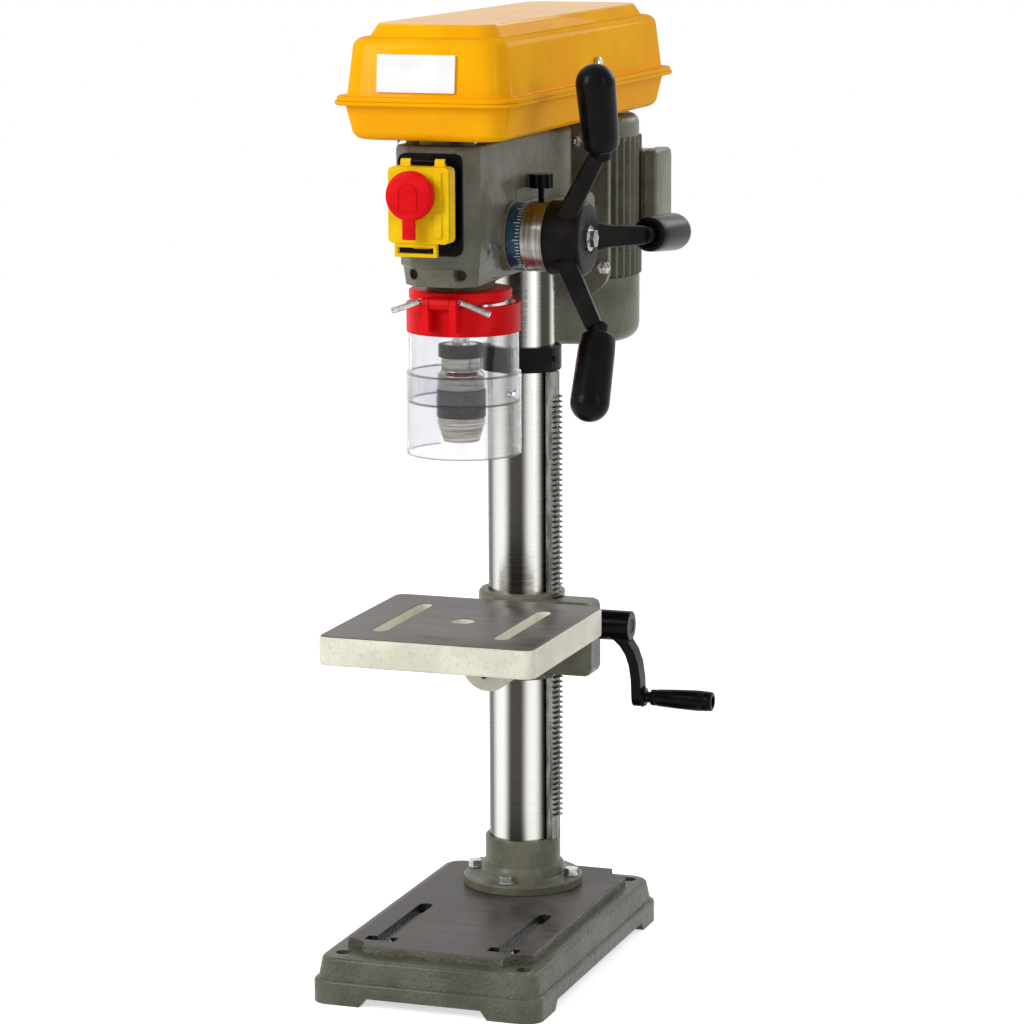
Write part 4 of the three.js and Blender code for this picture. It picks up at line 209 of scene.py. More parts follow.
# %% Soft boxes
MIDDLE = Vector((0, 0, 0.5))
SOFT_BOXES = {  # place in metres, width, height, level on the machine
    "key": ((-1.3, -1.9, 1.6), 0.9, 1.5, 0.5),
    "fill": ((1.9, -0.9, 1.1), 0.35, 1.7, 0.12),
    "rim": ((0.9, 1.9, 1.6), 1.2, 1.0, 0.2),
}
for name, (place, width, height, amount) in SOFT_BOXES.items():
    lamp = bpy.data.lights.new(name, "AREA")
    lamp.shape, lamp.size, lamp.size_y = "RECTANGLE", width, height
    away = Vector(place) - MIDDLE
    lamp.energy = amount * math.pi ** 2 * away.length_squared
    box = bpy.data.objects.new(name, lamp)
    box.location = place
    box.rotation_euler = away.to_track_quat("Z", "Y").to_euler()
    bpy.context.scene.collection.objects.link(box)
    print(name, "soft box", round(lamp.energy, 1), "W")

# %% [markdown]
# A finish is one material with its detail in the nodes: a colour that varies, a roughness
# that varies, and a bump. Patterns read Object coordinates, which every piece shares, so a
# pattern has one scale over the whole machine. Colours are written as they look on a screen.

# %% Finishes
def screen(red, green, blue):
    """A colour as seen on a screen, 0 to 255, as the linear colour of a shader."""
    shares = (value / 255 for value in (red, green, blue))
    return tuple(v / 12.92 if v <= 0.04045 else ((v + 0.055) / 1.055) ** 2.4
                 for v in shares) + (1.0,)


class Finish(Drawing):
    """A material on the principled shader, with the record's slot kept beside it."""

    def __init__(self, name, slot=None, **constants):
        self.material = bpy.data.materials.new(name)
        self.material.use_nodes = True
        super().__init__(self.material.node_tree)
        self.slot = slot or name
        self.shader = self.tree.nodes["Principled BSDF"]
        for socket, value in constants.items():
            self.shader.inputs[socket.replace("_", " ")].default_value = value

    def feed(self, **wires):
        for socket, wire in wires.items():
            self.tree.links.new(wire.socket, self.shader.inputs[socket.replace("_", " ")])

    def place(self, centre=(0, 0, 0), scale=(1, 1, 1)):
        """Object coordinates in metres, with centre moved to nought and then stretched."""
        point = self.node("TexCoord", out="Object")
        shift = tuple(-c * s for c, s in zip(centre, scale))
        return self.node("Mapping", {}, {"Vector": point, "Location": shift, "Scale": scale})

    def axes(self, place):
        """The three coordinates of a place as separate wires."""
        return [self.node("SeparateXYZ", {}, {"Vector": place}, out) for out in ("X", "Y", "Z")]

    def angle(self, rise, run):
        """The angle in radians of a point that lies rise up and run along."""
        return self.node("Math", {"operation": "ARCTAN2"}, {0: rise, 1: run})

    def cloud(self, place, scale, detail=3.0, roughness=0.55):
        return self.node("TexNoise", {}, {"Vector": place, "Scale": scale,
                                          "Detail": detail, "Roughness": roughness})

    def between(self, wire, low, high, first=0.0, last=1.0):
        """Carry a value from low..high over to first..last, with soft ends."""
        return self.node("MapRange", {"interpolation_type": "SMOOTHSTEP"},
                         {"Value": wire, "From Min": low, "From Max": high,
                          "To Min": first, "To Max": last})

    def mix(self, share, first, second):
        return self.node("Mix", {"data_type": "RGBA"}, {0: share, 6: first, 7: second}, out=2)

    def bump(self, height, strength, depth):
        self.feed(Normal=self.node("Bump", {}, {"Height": height, "Strength": strength,
                                                "Distance": depth}))


print("finish helpers ready")

# %% [markdown]
# The castings have hammered enamel: a grey green lacquer that pulls itself into dimples a
# few millimetres across as it dries. Two noises make the dimples and a fine grain, and a
# slow one makes the lacquer thicker and thinner. Where the iron was milled afterwards, the
# bare face is dark and brown, with fine lines from the cutter and stains from oily hands.
# In the base's two slots the walls are painted near black, as painted shade in those deep recesses.

# %% Hammered enamel and milled iron
BASE_MILLED, TABLE_MILLED = 0.04705, 0.31985  # metres above the bench, just under the tops
SLOT_X, SLOT_HALF, SLOT_SOUTH, SLOT_NORTH, SLOT_TOP = 0.056, 0.0145, -0.2195, -0.0975, 0.0469


def hammered(name, light, dark, dimple=0.6, gloss=0.16, milled_above=None,
             iron=((70, 63, 61), (112, 104, 100)), slots=False, slot="hammered_grey_paint"):
    """Enamel on a casting; above a height in metres it has been milled bare."""
    finish = Finish(name, slot, Coat_Roughness=0.08, Specular_IOR_Level=0.14)
    place = finish.place()
    dimples, grain, slow = (finish.cloud(place, scale, detail)
                            for scale, detail in ((330, 1.5), (1100, 2), (24, 4)))
    pit = screen(*(value * 0.62 for value in dark))
    colour = finish.mix(finish.between(slow, 0.35, 0.65), screen(*dark), screen(*light))
    colour = finish.mix(finish.between(dimples, 0.3, 0.5, 0.16, 0), colour, pit)
    rough = finish.between(dimples, 0.3, 0.7, 0.3, 0.44)
    height = dimples * dimple + grain * 0.12
    coat = finish.between(slow, 0.2, 0.4, gloss * 0.7, gloss)
    if milled_above is not None:
        bare = finish.axes(place)[2] > milled_above
        lines = finish.cloud(finish.place(scale=(9, 620, 0)), 1.0, 3)
        stains = finish.cloud(finish.place(scale=(1, 1, 0)), 16, 6, 0.62)
        stained, clean = (screen(*tint) for tint in iron)
        cut = screen(*(value * 1.3 for value in iron[1]))
        metal = finish.mix(finish.between(stains, 0.36, 0.66), stained, clean)
        metal = finish.mix(finish.between(lines, 0.4, 0.75, 0, 0.45), metal, cut)
        metal_rough = finish.between(stains, 0.3, 0.7, 0.3, 0.46)
        colour = finish.mix(bare, colour, metal)
        rough = finish.node("Mix", {}, {0: bare, 2: rough, 3: metal_rough})
        height = height * (1 - bare) + lines * bare * 0.06
        coat = coat * (1 - bare)
    if slots:
        # Painted shade: inside the base's two slots the walls are coloured near black, for the shade
        # in those deep recesses.
        x, y, z = finish.axes(finish.place((AXIS_X, AXIS_Y, 0)))
        beside = (x.size() - SLOT_X).size() < SLOT_HALF
        slot_shade = beside * (y > SLOT_SOUTH) * (y < SLOT_NORTH) * (z < SLOT_TOP)
        colour = finish.mix(slot_shade, colour, screen(26, 26, 24))
    finish.feed(Base_Color=colour, Roughness=rough, Coat_Weight=coat)
    finish.bump(height, 0.9, 0.0012)
    return finish


castings = hammered("hammered_grey_paint", (112, 111, 96), (92, 91, 77))
base_paint = hammered("base_enamel_and_milled_top", (98, 97, 84), (80, 79, 67), 2.0, 0.22,
                      BASE_MILLED, ((50, 46, 44), (84, 78, 75)), slots=True)
table_paint = hammered("table_cream_and_milled_top", (232, 229, 212), (218, 214, 196),
                       milled_above=TABLE_MILLED, slot="cream_paint")
print("castings:", castings.material.name, base_paint.material.name, table_paint.material.name)

# %% [markdown]
# The belt cover is pressed sheet with a thick glossy enamel. A coat layer carries the sharp
# reflection, and the colour below stays deep; the flat top is rubbed clean and shines most.
# A weak slow bump stands for the waviness that gives pressed sheet its soft, bent highlights.

# %% Yellow enamel
RUBBED_FROM, RUBBED_TO = 0.8325, 0.834  # metres above the bench, at the flat top's edge
yellow = Finish("yellow_paint", Coat_Roughness=0.04, Coat_IOR=1.6, Specular_IOR_Level=0.0)
place = yellow.place()
wave, peel = yellow.cloud(place, 14, 2), yellow.cloud(place, 520, 2)
tint = yellow.mix(yellow.between(wave, 0.35, 0.7), screen(244, 168, 0), screen(250, 182, 0))
shine = yellow.between(yellow.axes(place)[2], RUBBED_FROM, RUBBED_TO, 0.1, 0.5)
yellow.feed(Base_Color=tint, Roughness=yellow.between(peel, 0.3, 0.7, 0.28, 0.36),
            Coat_Weight=shine)
yellow.bump(wave + peel * 0.012, 0.25, 0.002)
print("cover:", yellow.material.name)

# %% [markdown]
# Steel comes in several kinds here. The column is ground: fine hairs run round it, and six
# long light and dark bands run up it as a painted reflection of the studio, set by the angle
# round its axis. Turned parts have rings about their own axis, and screws are plated and
# bright. All are metals, so their colour is the colour of what they reflect.

# %% Steel
REFLECTION_BANDS = 6


def steel(name, light, dark, smooth, dull, stretch, slot=None, relief=0.12):
    """A metal whose streaks are noise squeezed along the directions that stretch names."""
    finish = Finish(name, slot, Metallic=1.0)
    streaks = finish.cloud(finish.place(scale=stretch), 1.0, 4, 0.6)
    smudges = finish.cloud(finish.place(), 40, 4)
    share = finish.between(streaks, 0.32, 0.68)
    finish.feed(Base_Color=finish.mix(share, screen(*dark), screen(*light)),
                Roughness=finish.between(smudges, 0.3, 0.7, smooth, dull))
    finish.bump(streaks, relief, 0.0002)
    return finish


ground = Finish("ground_steel", Metallic=1.0)
east, north = ground.axes(ground.place((AXIS_X, AXIS_Y, 0)))[:2]
hairs = ground.cloud(ground.place(scale=(20, 20, 900)), 1.0, 3)
drift = ground.cloud(ground.place(scale=(30, 30, 1)), 1.0, 0)
# Painted reflection: light and dark bands by the angle round the column's axis stand in for the
# studio reflected in the steel.
painted_reflection_bands = (ground.angle(north, east) * REFLECTION_BANDS + drift * 2.2).sine() * 0.5 + hairs * 0.1 + 0.36
painted_reflection_colour = ground.mix(ground.between(painted_reflection_bands, 0.05, 0.95), screen(66, 64, 58), screen(222, 221, 216))
ground.feed(Base_Color=painted_reflection_colour, Roughness=ground.between(hairs, 0.3, 0.7, 0.2, 0.32))
ground.bump(hairs, 0.06, 0.0001)
turned = steel("turned_steel", (182, 178, 168), (106, 101, 94), 0.16, 0.28, (20, 20, 900),
               "ground_steel")
collar_steel = steel("feed_collar_steel", (176, 172, 168), (112, 108, 104), 0.2, 0.32,
                     (300, 9, 9), "ground_steel", 0.03)
bright = steel("bright_steel", (222, 222, 220), (176, 176, 174), 0.16, 0.3, (160, 160, 160))
toothed = steel("rack_steel", (150, 149, 143), (84, 83, 77), 0.3, 0.45, (300, 300, 40),
                "ground_steel")
aluminium = steel("cast_aluminium", (196, 197, 198), (160, 161, 162), 0.32, 0.5,
                  (400, 400, 400))
print("six kinds of metal")

# %% [markdown]
# Black parts differ by touch. Cast arms and the hub are rough, and the grips are smooth
# moulded plastic with a soft sheen. Coloured plastics are moulded too, with a faint
# unevenness in colour that stops them looking printed.

# %% Blacks and plastics
def moulded(name, light, dark, smooth, dull, grain, strength, slot=None):
    """Plastic or black iron: a slow change of colour and a fine grain."""
    finish = Finish(name, slot, Specular_IOR_Level=0.08)
    place = finish.place()
    slow, fine = finish.cloud(place, 45, 4), finish.cloud(place, grain, 3)
    share = finish.between(slow, 0.35, 0.68)
    finish.feed(Base_Color=finish.mix(share, screen(*dark), screen(*light)),
                Roughness=finish.between(fine, 0.3, 0.7, smooth, dull))
    finish.bump(fine, strength, 0.0004)
    return finish


black_iron = moulded("black_steel", (26, 23, 21), (10, 8, 8), 0.32, 0.48, 700, 0.35)
grip_plastic = moulded("black_plastic", (11, 11, 11), (5, 5, 5), 0.2, 0.32, 1500, 0.12)
red = moulded("red_plastic", (232, 18, 24), (210, 8, 18), 0.3, 0.42, 900, 0.1)
yellow_plastic = moulded("yellow_plastic", (244, 206, 20), (232, 188, 8), 0.34, 0.45, 900, 0.1)
green = moulded("green_plastic", (40, 150, 80), (26, 128, 64), 0.3, 0.42, 900, 0.1)
rubber = moulded("belt_rubber", (40, 40, 42), (26, 26, 28), 0.6, 0.8, 1200, 0.3)
label = moulded("bare_label", (246, 246, 248), (236, 237, 240), 0.4, 0.5, 600, 0.05,
                "cream_paint")
print("black and coloured finishes ready")

# %% [markdown]
# The guard's clear plastic is thin, so what is seen through it hardly shifts. An index close
# to that of air keeps the chuck in its place behind the wall, and a coat gives the wall its
# highlights. Light that runs inside real plastic comes out dim at its cut ends, so a band at
# the end of each tube is painted darker, as painted shade for that dim light.

# %% Clear plastic
TUBE_ENDS, END_HALF = (0.4675, 0.5125, 0.5365), 0.0008  # metres above the bench
clear = Finish("clear_plastic", Transmission_Weight=1.0, IOR=1.03, Coat_Weight=0.8,
               Coat_Roughness=0.02)
scuff = clear.cloud(clear.place(scale=(1, 1, 0.2)), 160, 4)
level = clear.axes(clear.place())[2]
ends = [(level - z).size() < END_HALF for z in TUBE_ENDS]
# Painted shade: a darker, less clear band at each tube's cut end stands in for the dim light there.
rim = ends[0].larger(ends[1]).larger(ends[2])
film = clear.mix(clear.between(scuff, 0.4, 0.7), screen(238, 238, 242), screen(228, 228, 234))
clear.feed(Base_Color=clear.mix(rim, film, screen(166, 160, 150)),
           Roughness=clear.between(scuff, 0.5, 0.8, 0.0, 0.03),
           Alpha=rim * 0.1 + clear.between(scuff, 0.4, 0.8, 0.74, 0.84))
print("clear plastic with", len(ends), "tinted ends")

# %% [markdown]
# The depth ring is blue with white marks round it, so that the operator can read how far the
# quill has come down. An angle about the feed axis, cut into equal steps, makes the marks;
# every fifth is longer. The chuck's knurled rings are dark steel and use the same idea with
# two crossed slopes.

# %% Depth marks and knurls
FEED_Y, FEED_Z, SPINDLE_Y = -128.6, 651.5, -157.0
MARKS, LONG_EVERY, MARK_SHARE = 60, 5, 0.2
SHORT_FROM, LONG_FROM = 0.0490, 0.0465  # metres along the feed axis
KNURLS, KNURL_SLOPE = 60, 3000


def metres(x, y, z):
    """A place in millimetres round the column as a place in the frame."""
    return tuple(TO_FRAME @ Vector((x, y, z)))


blue = Finish("blue_paint", Coat_Weight=0.3)
along, across, high = blue.axes(blue.place(metres(0, FEED_Y, FEED_Z)))
turns = blue.angle(high, across) * (1 / math.tau)
short = ((turns * MARKS).fraction() < MARK_SHARE) * (along > SHORT_FROM)
every_fifth = (turns * (MARKS / LONG_EVERY)).fraction() < MARK_SHARE / LONG_EVERY
long = every_fifth * (along > LONG_FROM)
wear = blue.cloud(blue.place(), 300, 4)
ink = blue.mix(blue.between(wear, 0.4, 0.62), screen(8, 46, 70), screen(16, 70, 98))
blue.feed(Base_Color=blue.mix(short.larger(long), ink, screen(226, 232, 234)),
          Roughness=blue.between(wear, 0.3, 0.7, 0.3, 0.42))

knurl = Finish("knurled_steel", "black_steel", Metallic=0.7)
east, north, high = knurl.axes(knurl.place(metres(0, SPINDLE_Y, 0)))
turn, climb = knurl.angle(north, east) * KNURLS, high * KNURL_SLOPE
ridges = (turn + climb).sine().size() * (turn - climb).sine().size()
knurl.feed(Base_Color=knurl.mix(ridges, screen(16, 15, 15), screen(60, 57, 56)),
           Roughness=knurl.between(ridges, 0, 1, 0.5, 0.3))
knurl.bump(ridges, 0.5, 0.0006)
print("blue ring has", MARKS, "marks")

# %% [markdown]
# A CAD solid keeps its mesh, and a new material in its slots is enough where the shape is
# right. Inner parts such as the worm, the spindle and the quill are seen only when the
# machine is opened, so they stay as they are and get their own finish.

# %% Dress the inner solids
def dress(names, finish):
    """Give solids a finish and leave their shape alone."""
    for name in names:
        mesh = solids[name].data
        for index in range(len(mesh.materials)):
            mesh.materials[index] = finish.material
    return len(names)


dressed = dress(["rack"], toothed)
dressed += dress(["quill", "spindle", "feed_shaft", "chuck_jaw_1", "chuck_jaw_2", "chuck_jaw_3",
                  "depth_pointer"], bright)
dressed += dress(["crank_worm", "table_pinion"], black_iron)
dressed += dress(["drive_belt"], rubber)
dressed += dress(["start_button"], green) + dress(["stop_button"], red)
print(dressed, "solids keep their shape")

# %% [markdown]
# Every new piece ends the same way: doubles merged, faces turned outwards, millimetres taken
# to the frame, a finish, a soft edge and a body to ride on. The soft edge is a Bevel
# modifier that only works on sharp corners and keeps flat faces flat.

# %% Finish a piece
def finish_piece(bm, name, finish, body, replaces=(), edge=0.0, steps=2, crease=35):
    """Turn a drawn bmesh into a piece of the machine."""
    bmesh.ops.remove_doubles(bm, verts=bm.verts, dist=0.0005)
    bmesh.ops.recalc_face_normals(bm, faces=bm.faces)
    bmesh.ops.transform(bm, matrix=TO_FRAME, verts=bm.verts)
    mesh = bpy.data.meshes.new(name)
    bm.to_mesh(mesh)
    bm.free()
    mesh.materials.append(finish.material)
    mesh.shade_smooth()
    mesh.set_sharp_from_angle(angle=math.radians(crease))
    piece = bpy.data.objects.new(name, mesh)
    bpy.context.scene.collection.objects.link(piece)
    if edge:
        soft = piece.modifiers.new("soft_edge", "BEVEL")
        soft.width, soft.segments = edge * MILLIMETRE, steps
        soft.limit_method, soft.angle_limit = "ANGLE", math.radians(crease)
        soft.use_clamp_overlap, soft.harden_normals = False, True
    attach(piece, body)
    if replaces:
        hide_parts(*replaces)


print("pieces are finished in one place")

# %% [markdown]
# The head, the bracket, the table and the switch have the right shape already, but a cast or
# moulded edge is never sharp. A copy of the solid is merged, its flat triangles are joined to
# whole faces, and the bevel then rounds the corners. The copy stands in for the solid.

# %% Soften the solids
BACK_TO_MILLIMETRES = TO_FRAME.inverted()
BOLTS = ("flange_bolt_1", "flange_bolt_2", "flange_bolt_3", "flange_bolt_4", "lid_screw",
         "guard_lock_screw")
EDGES = (  # a finish, and the edge of each solid that has it
    (table_paint, {"table": 0.5}),
    (castings, {"head_casting": 0.9, "table_bracket": 0.8, "motor_plate": 1.0,
                "terminal_box": 1.4}),
    (black_iron, {"tilt_bolt": 0.5, "rack_collar": 0.5, "return_spring_housing": 0.5}),
    (grip_plastic, {"crank_arm": 1.1, "table_clamp_lever": 0.6, "tension_knob": 0.4,
                    "switch_base": 0.8}),
    (red, {"guard_carrier": 0.4, "guard_collar": 0.4}),
    (yellow_plastic, {"switch_cover": 0.5}),
    (bright, dict.fromkeys(BOLTS, 0.25)),
)


def soften(name, finish, edge):
    """A copy of a solid with its corners rounded."""
    bm = bmesh.new()
    bm.from_mesh(solids[name].data)
    bmesh.ops.transform(bm, matrix=BACK_TO_MILLIMETRES, verts=bm.verts)
    bmesh.ops.remove_doubles(bm, verts=bm.verts, dist=0.001)
    bmesh.ops.dissolve_limit(bm, angle_limit=math.radians(0.8), verts=bm.verts, edges=bm.edges)
    finish_piece(bm, name + "_soft", finish, solids[name]["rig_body"], [name], edge)


for finish, edges in EDGES:
    for name, edge in edges.items():
        soften(name, finish, edge)
    print(finish.material.name, "on", ", ".join(edges))

# %% [markdown]
# Round parts are turned on a lathe, and so they are here: a profile of radius and height is
# spun about an axis. Spin needs only the profile, so a change of one diameter is one number.
# A profile that doesn't touch the axis is closed to a ring, which gives a tube its bore.

# %% Lathe
def lathe(profile, axis=UP, centre=(0, 0, 0), share=1.0, start=0.0, steps=96):
    """Spin (radius, height) points about an axis through centre."""
    bm = bmesh.new()
    points = [bm.verts.new((radius, 0, height)) for radius, height in profile]
    ring = all(radius > 0 for radius, height in profile)
    pairs = list(zip(points, points[1:])) + ([(points[-1], points[0])] if ring else [])
    edges = [bm.edges.new(pair) for pair in pairs]
    bmesh.ops.rotate(bm, verts=points, cent=(0, 0, 0), matrix=Matrix.Rotation(start, 3, "Z"))
    bmesh.ops.spin(bm, geom=points + edges, cent=(0, 0, 0), axis=UP, angle=math.tau * share,
                   steps=round(steps * share), use_merge=share == 1.0)
    bmesh.ops.remove_doubles(bm, verts=bm.verts, dist=0.0005)
    if share < 1.0:
        bmesh.ops.holes_fill(bm, edges=[e for e in bm.edges if e.is_boundary], sides=0)
    turn = Vector(UP).rotation_difference(Vector(axis)).to_matrix().to_4x4()
    bmesh.ops.transform(bm, matrix=Matrix.Translation(centre) @ turn, verts=bm.verts)
    return bm


def arc(centre_radius, centre_height, radius, first, last, steps=6):
    """Points of a round corner in a profile, from first to last degrees."""
    angles = (math.radians(first + (last - first) * i / steps) for i in range(steps + 1))
    return [(centre_radius + radius * math.cos(a), centre_height + radius * math.sin(a))
            for a in angles]


print("lathe ready")

# %% [markdown]
# The column is a plain tube, ground to size. It stands in a cast flange: a broad foot that
# four bolts hold to the base, a fillet, and a collar round the tube. Both are one profile.

# %% Column and flange
COLUMN_BORE, COLUMN_RADIUS, COLUMN_FOOT, COLUMN_TOP = 25.5, 30.0, 47.6, 726.4
column = lathe([(COLUMN_BORE, COLUMN_FOOT), (COLUMN_RADIUS, COLUMN_FOOT),
                (COLUMN_RADIUS, COLUMN_TOP), (COLUMN_BORE, COLUMN_TOP)])
finish_piece(column, "column_tube", ground, "stand", ["column"], 0.8)
flange = lathe([(30.05, 47.6), (53.8, 47.6), (53.8, 54.4), (52.4, 56.1), (40.5, 56.1),
                (38.2, 57.6), (37, 66.2), (36, 67.4), (34.2, 67.8), (34, 69), (34, 90.8),
                (33.2, 92.2), (30.05, 92.3)])
finish_piece(flange, "flange_casting", castings, "stand", ["column_flange"], 0.4)
print("column", COLUMN_TOP - COLUMN_FOOT, "mm long on its flange")

# %% [markdown]
# The chuck is a stack of turned rings on the spindle's nose: a knurled ring above, a bright
# body, the knurled sleeve that the hand turns, and the cone with the mouth. Body and sleeve
# turn separately, so they are separate pieces with a groove for the sleeve. The body is
# hollow: its bore widens upwards, and the three jaws slide up and out in it.

# %% Chuck
SPINDLE = (0, SPINDLE_Y, 0)
body = lathe([(7.2, 478), (15.3, 478), (20.2, 493.5), (20.2, 499), (17.8, 499), (17.8, 523),
              (20, 523), (20, 535.4), (16.9, 539), (16.9, 550.3), (14, 550.3), (14, 561.5),
              (7, 561.5), (7, 516), (16.68, 516)], UP, SPINDLE)
finish_piece(body, "chuck_turned_body", turned, "spindle_body", ["chuck_body"], 0.4)
finish_piece(lathe([(14.1, 550.5), (19.2, 550.5), (19.2, 561.4), (14.1, 561.4)], UP, SPINDLE),
             "chuck_knurled_ring", knurl, "spindle_body", [], 0.5)
finish_piece(lathe([(18, 499.3), (20.9, 499.3), (20.9, 522.7), (18, 522.7)], UP, SPINDLE),
             "chuck_knurled_sleeve", knurl, "chuck_sleeve_body", ["chuck_sleeve"], 0.5)
print("chuck of 3 turned pieces")

# %% [markdown]
# Five steps on each pulley give five speeds. One pulley is the other upside down, so that
# the belt keeps its length on every step. Both come from one list of grooves.

# %% Step pulleys
PULLEY_FOOT, STEPS, PITCH, LARGEST, DROP, GROOVE = 745.0, 5, 12.0, 54.0, 6.0, 7.0
GAP, LIP, HUB, BORE, SHAFT, MOTOR_Y = 0.05, 1.0, 13, 8.3, 8, 140
grooves = []
for step in range(STEPS):
    radius, foot = LARGEST - step * DROP, step * PITCH
    grooves += [(radius, foot + GAP), (radius, foot + LIP), (radius - GROOVE, foot + PITCH / 2),
                (radius, foot + PITCH - LIP), (radius, foot + PITCH - GAP)]
height = STEPS * PITCH
flipped = [(radius, height - z) for radius, z in reversed(grooves)]
hub_foot, shaft_foot = (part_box(name)[0].z / MILLIMETRE - PULLEY_FOOT
                        for name in ("spindle_pulley", "motor_pulley"))
spindle_wheel = lathe([(BORE, hub_foot), (HUB, hub_foot), (HUB, 0)] + grooves
                      + [(BORE, height)], UP, (0, SPINDLE_Y, PULLEY_FOOT))
motor_wheel = lathe([(0, shaft_foot), (SHAFT, shaft_foot), (SHAFT, 0)] + flipped
                    + [(0, height)], UP, (0, MOTOR_Y, PULLEY_FOOT))
finish_piece(spindle_wheel, "spindle_pulley_cast", aluminium, "spindle_pulley_body",
             ["spindle_pulley"])
finish_piece(motor_wheel, "motor_pulley_cast", aluminium, "motor_pulley_body",
             ["motor_pulley"])
print("two pulleys of", STEPS, "steps")

# %% [markdown]
# The feed hub sits on the pinion shaft at the head's right side. From the casting outwards
# come the blue depth ring, a steel collar and the black hub. Three arms carry long grips,
# which are moulded, taper to a neck and end in a dome.

# %% Feed hub and grips
FEED = (0, FEED_Y, FEED_Z)
GRIP_LENGTH, GRIP_RADIUS, TIP_RHO, TIP_X, LEAN = 77.0, 16.5, 91.0, 129.7, math.radians(3.3)
SPOKES = (-3.3, 116.7, -123.3)
finish_piece(lathe([(12.2, 40.3), (28.8, 40.3), (28.8, 52.3), (12.2, 52.3)], RIGHT, FEED),
             "depth_ring_marked", blue, "depth_ring_body", ["depth_ring"], 0.5)
finish_piece(lathe([(12.2, 52.6), (29.5, 52.6), (29.5, 72.3), (12.2, 72.3)], RIGHT, FEED),
             "feed_collar_turned", collar_steel, "feed", ["feed_collar"], 0.8)
hub = lathe([(0, 72.6), (31.5, 72.6)] + arc(27.5, 101, 4, 0, 90)
            + [(16, 105), (14, 103.6), (0, 103.6)], RIGHT, FEED)
finish_piece(hub, "feed_hub_cast", black_iron, "feed", ["feed_hub"], 0.6)


def spoke(degrees):
    """An arm's direction from the hub, its grip's direction and its grip's foot."""
    away = Vector((0, math.cos(math.radians(degrees)), math.sin(math.radians(degrees))))
    out = away * math.cos(LEAN) + Vector(RIGHT) * math.sin(LEAN)
    return away, out, Vector(FEED) + away * TIP_RHO + Vector((TIP_X, 0, 0))


for number, degrees in enumerate(SPOKES, 1):
    away, out, foot = spoke(degrees)
    dome = arc(0, GRIP_LENGTH - GRIP_RADIUS, GRIP_RADIUS, 0, 90, 12)[:-1] + [(0, GRIP_LENGTH)]
    grip = lathe([(0, 0.6), (8.4, 0.6), (9, 0)] + arc(11.8, 3.2, 3.2, -90, -15) + [(15.6, 14)]
                 + dome, out, foot, steps=64)
    finish_piece(grip, f"feed_grip_{number}_moulded", grip_plastic, "feed",
                 [f"feed_grip_{number}"])
print("feed hub with three grips of", GRIP_LENGTH, "mm")

# %% [markdown]
# The crank's grip turns on its stud, so it is a piece of its own. It is a small barrel: thin
# at the arm, full at the end, with a ring groove near each end.

# %% Crank grip
grip = lathe([(5.3, 126.3), (7, 126.3), (7.4, 130), (6.9, 131), (7.6, 132.2), (8.6, 150),
              (9.2, 168), (9.1, 174), (8.6, 174.8), (9.1, 175.8), (8.7, 180)]
             + arc(7, 181, 1.8, 30, 90, 3) + [(5.3, 182.8)], RIGHT, (0, -13, 230.5), steps=48)
finish_piece(grip, "crank_grip_moulded", grip_plastic, "crank_grip_body", ["crank_grip"])
print("crank grip ready")

# %% [markdown]
# Many castings are several simple forms in one. Two small helpers make a plain box between
# its six faces and put drawn forms together, so that they share one mesh and one soft edge.

# %% Boxes and joined forms
def together(*parts):
    """Several bmeshes as one."""
    whole = bmesh.new()
    for part in parts:
        mesh = bpy.data.meshes.new("part")
        part.to_mesh(mesh)
        part.free()
        whole.from_mesh(mesh)
        bpy.data.meshes.remove(mesh)
    return whole


def block(west, east, south, north, bottom, top):
    """A box between its six faces."""
    bm = bmesh.new()
    bmesh.ops.create_cube(bm, size=1)
    bmesh.ops.scale(bm, vec=(east - west, north - south, top - bottom), verts=bm.verts)
    middle = ((west + east) / 2, (south + north) / 2, (bottom + top) / 2)
    bmesh.ops.translate(bm, vec=middle, verts=bm.verts)
    return bm


print("boxes and joined forms ready")

# %% [markdown]
# The motor's case is a ribbed casting. The ribs start as one circle: of every four points,
# two are drawn inwards, and the outline is then pulled up to a fluted cylinder. That needs
# no list of faces.

# %% Ribs
def pull(bm, faces, way):
    """Extrude faces along a way; gives the new points."""
    grown = bmesh.ops.extrude_face_region(bm, geom=faces)["geom"]
    points = [v for v in grown if isinstance(v, bmesh.types.BMVert)]
    bmesh.ops.translate(bm, vec=way, verts=points)
    return points


def fluted(radius, depth, ribs, bottom, height, centre):
    """A ribbed cylinder, from a circle with every second pair of points drawn in."""
    bm = bmesh.new()
    points = bmesh.ops.create_circle(bm, cap_ends=True, radius=radius, segments=ribs * 4)["verts"]
    valleys = [v for v in points
               if round(math.atan2(v.co.y, v.co.x) / math.tau * ribs * 4) % 4 in (2, 3)]
    inner = (radius - depth) / radius
    bmesh.ops.scale(bm, vec=(inner, inner, 1), verts=valleys)
    pull(bm, bm.faces[:], (0, 0, height))
    bmesh.ops.translate(bm, vec=Vector(centre) + Vector((0, 0, bottom)), verts=bm.verts)
    return bm


print("ribs ready")

# %% [markdown]
# Above the ribs the motor has a smooth bell, and below them a pressed cup. A foot and two
# lugs reach forward to the plate that carries it. All but the cup is one casting.

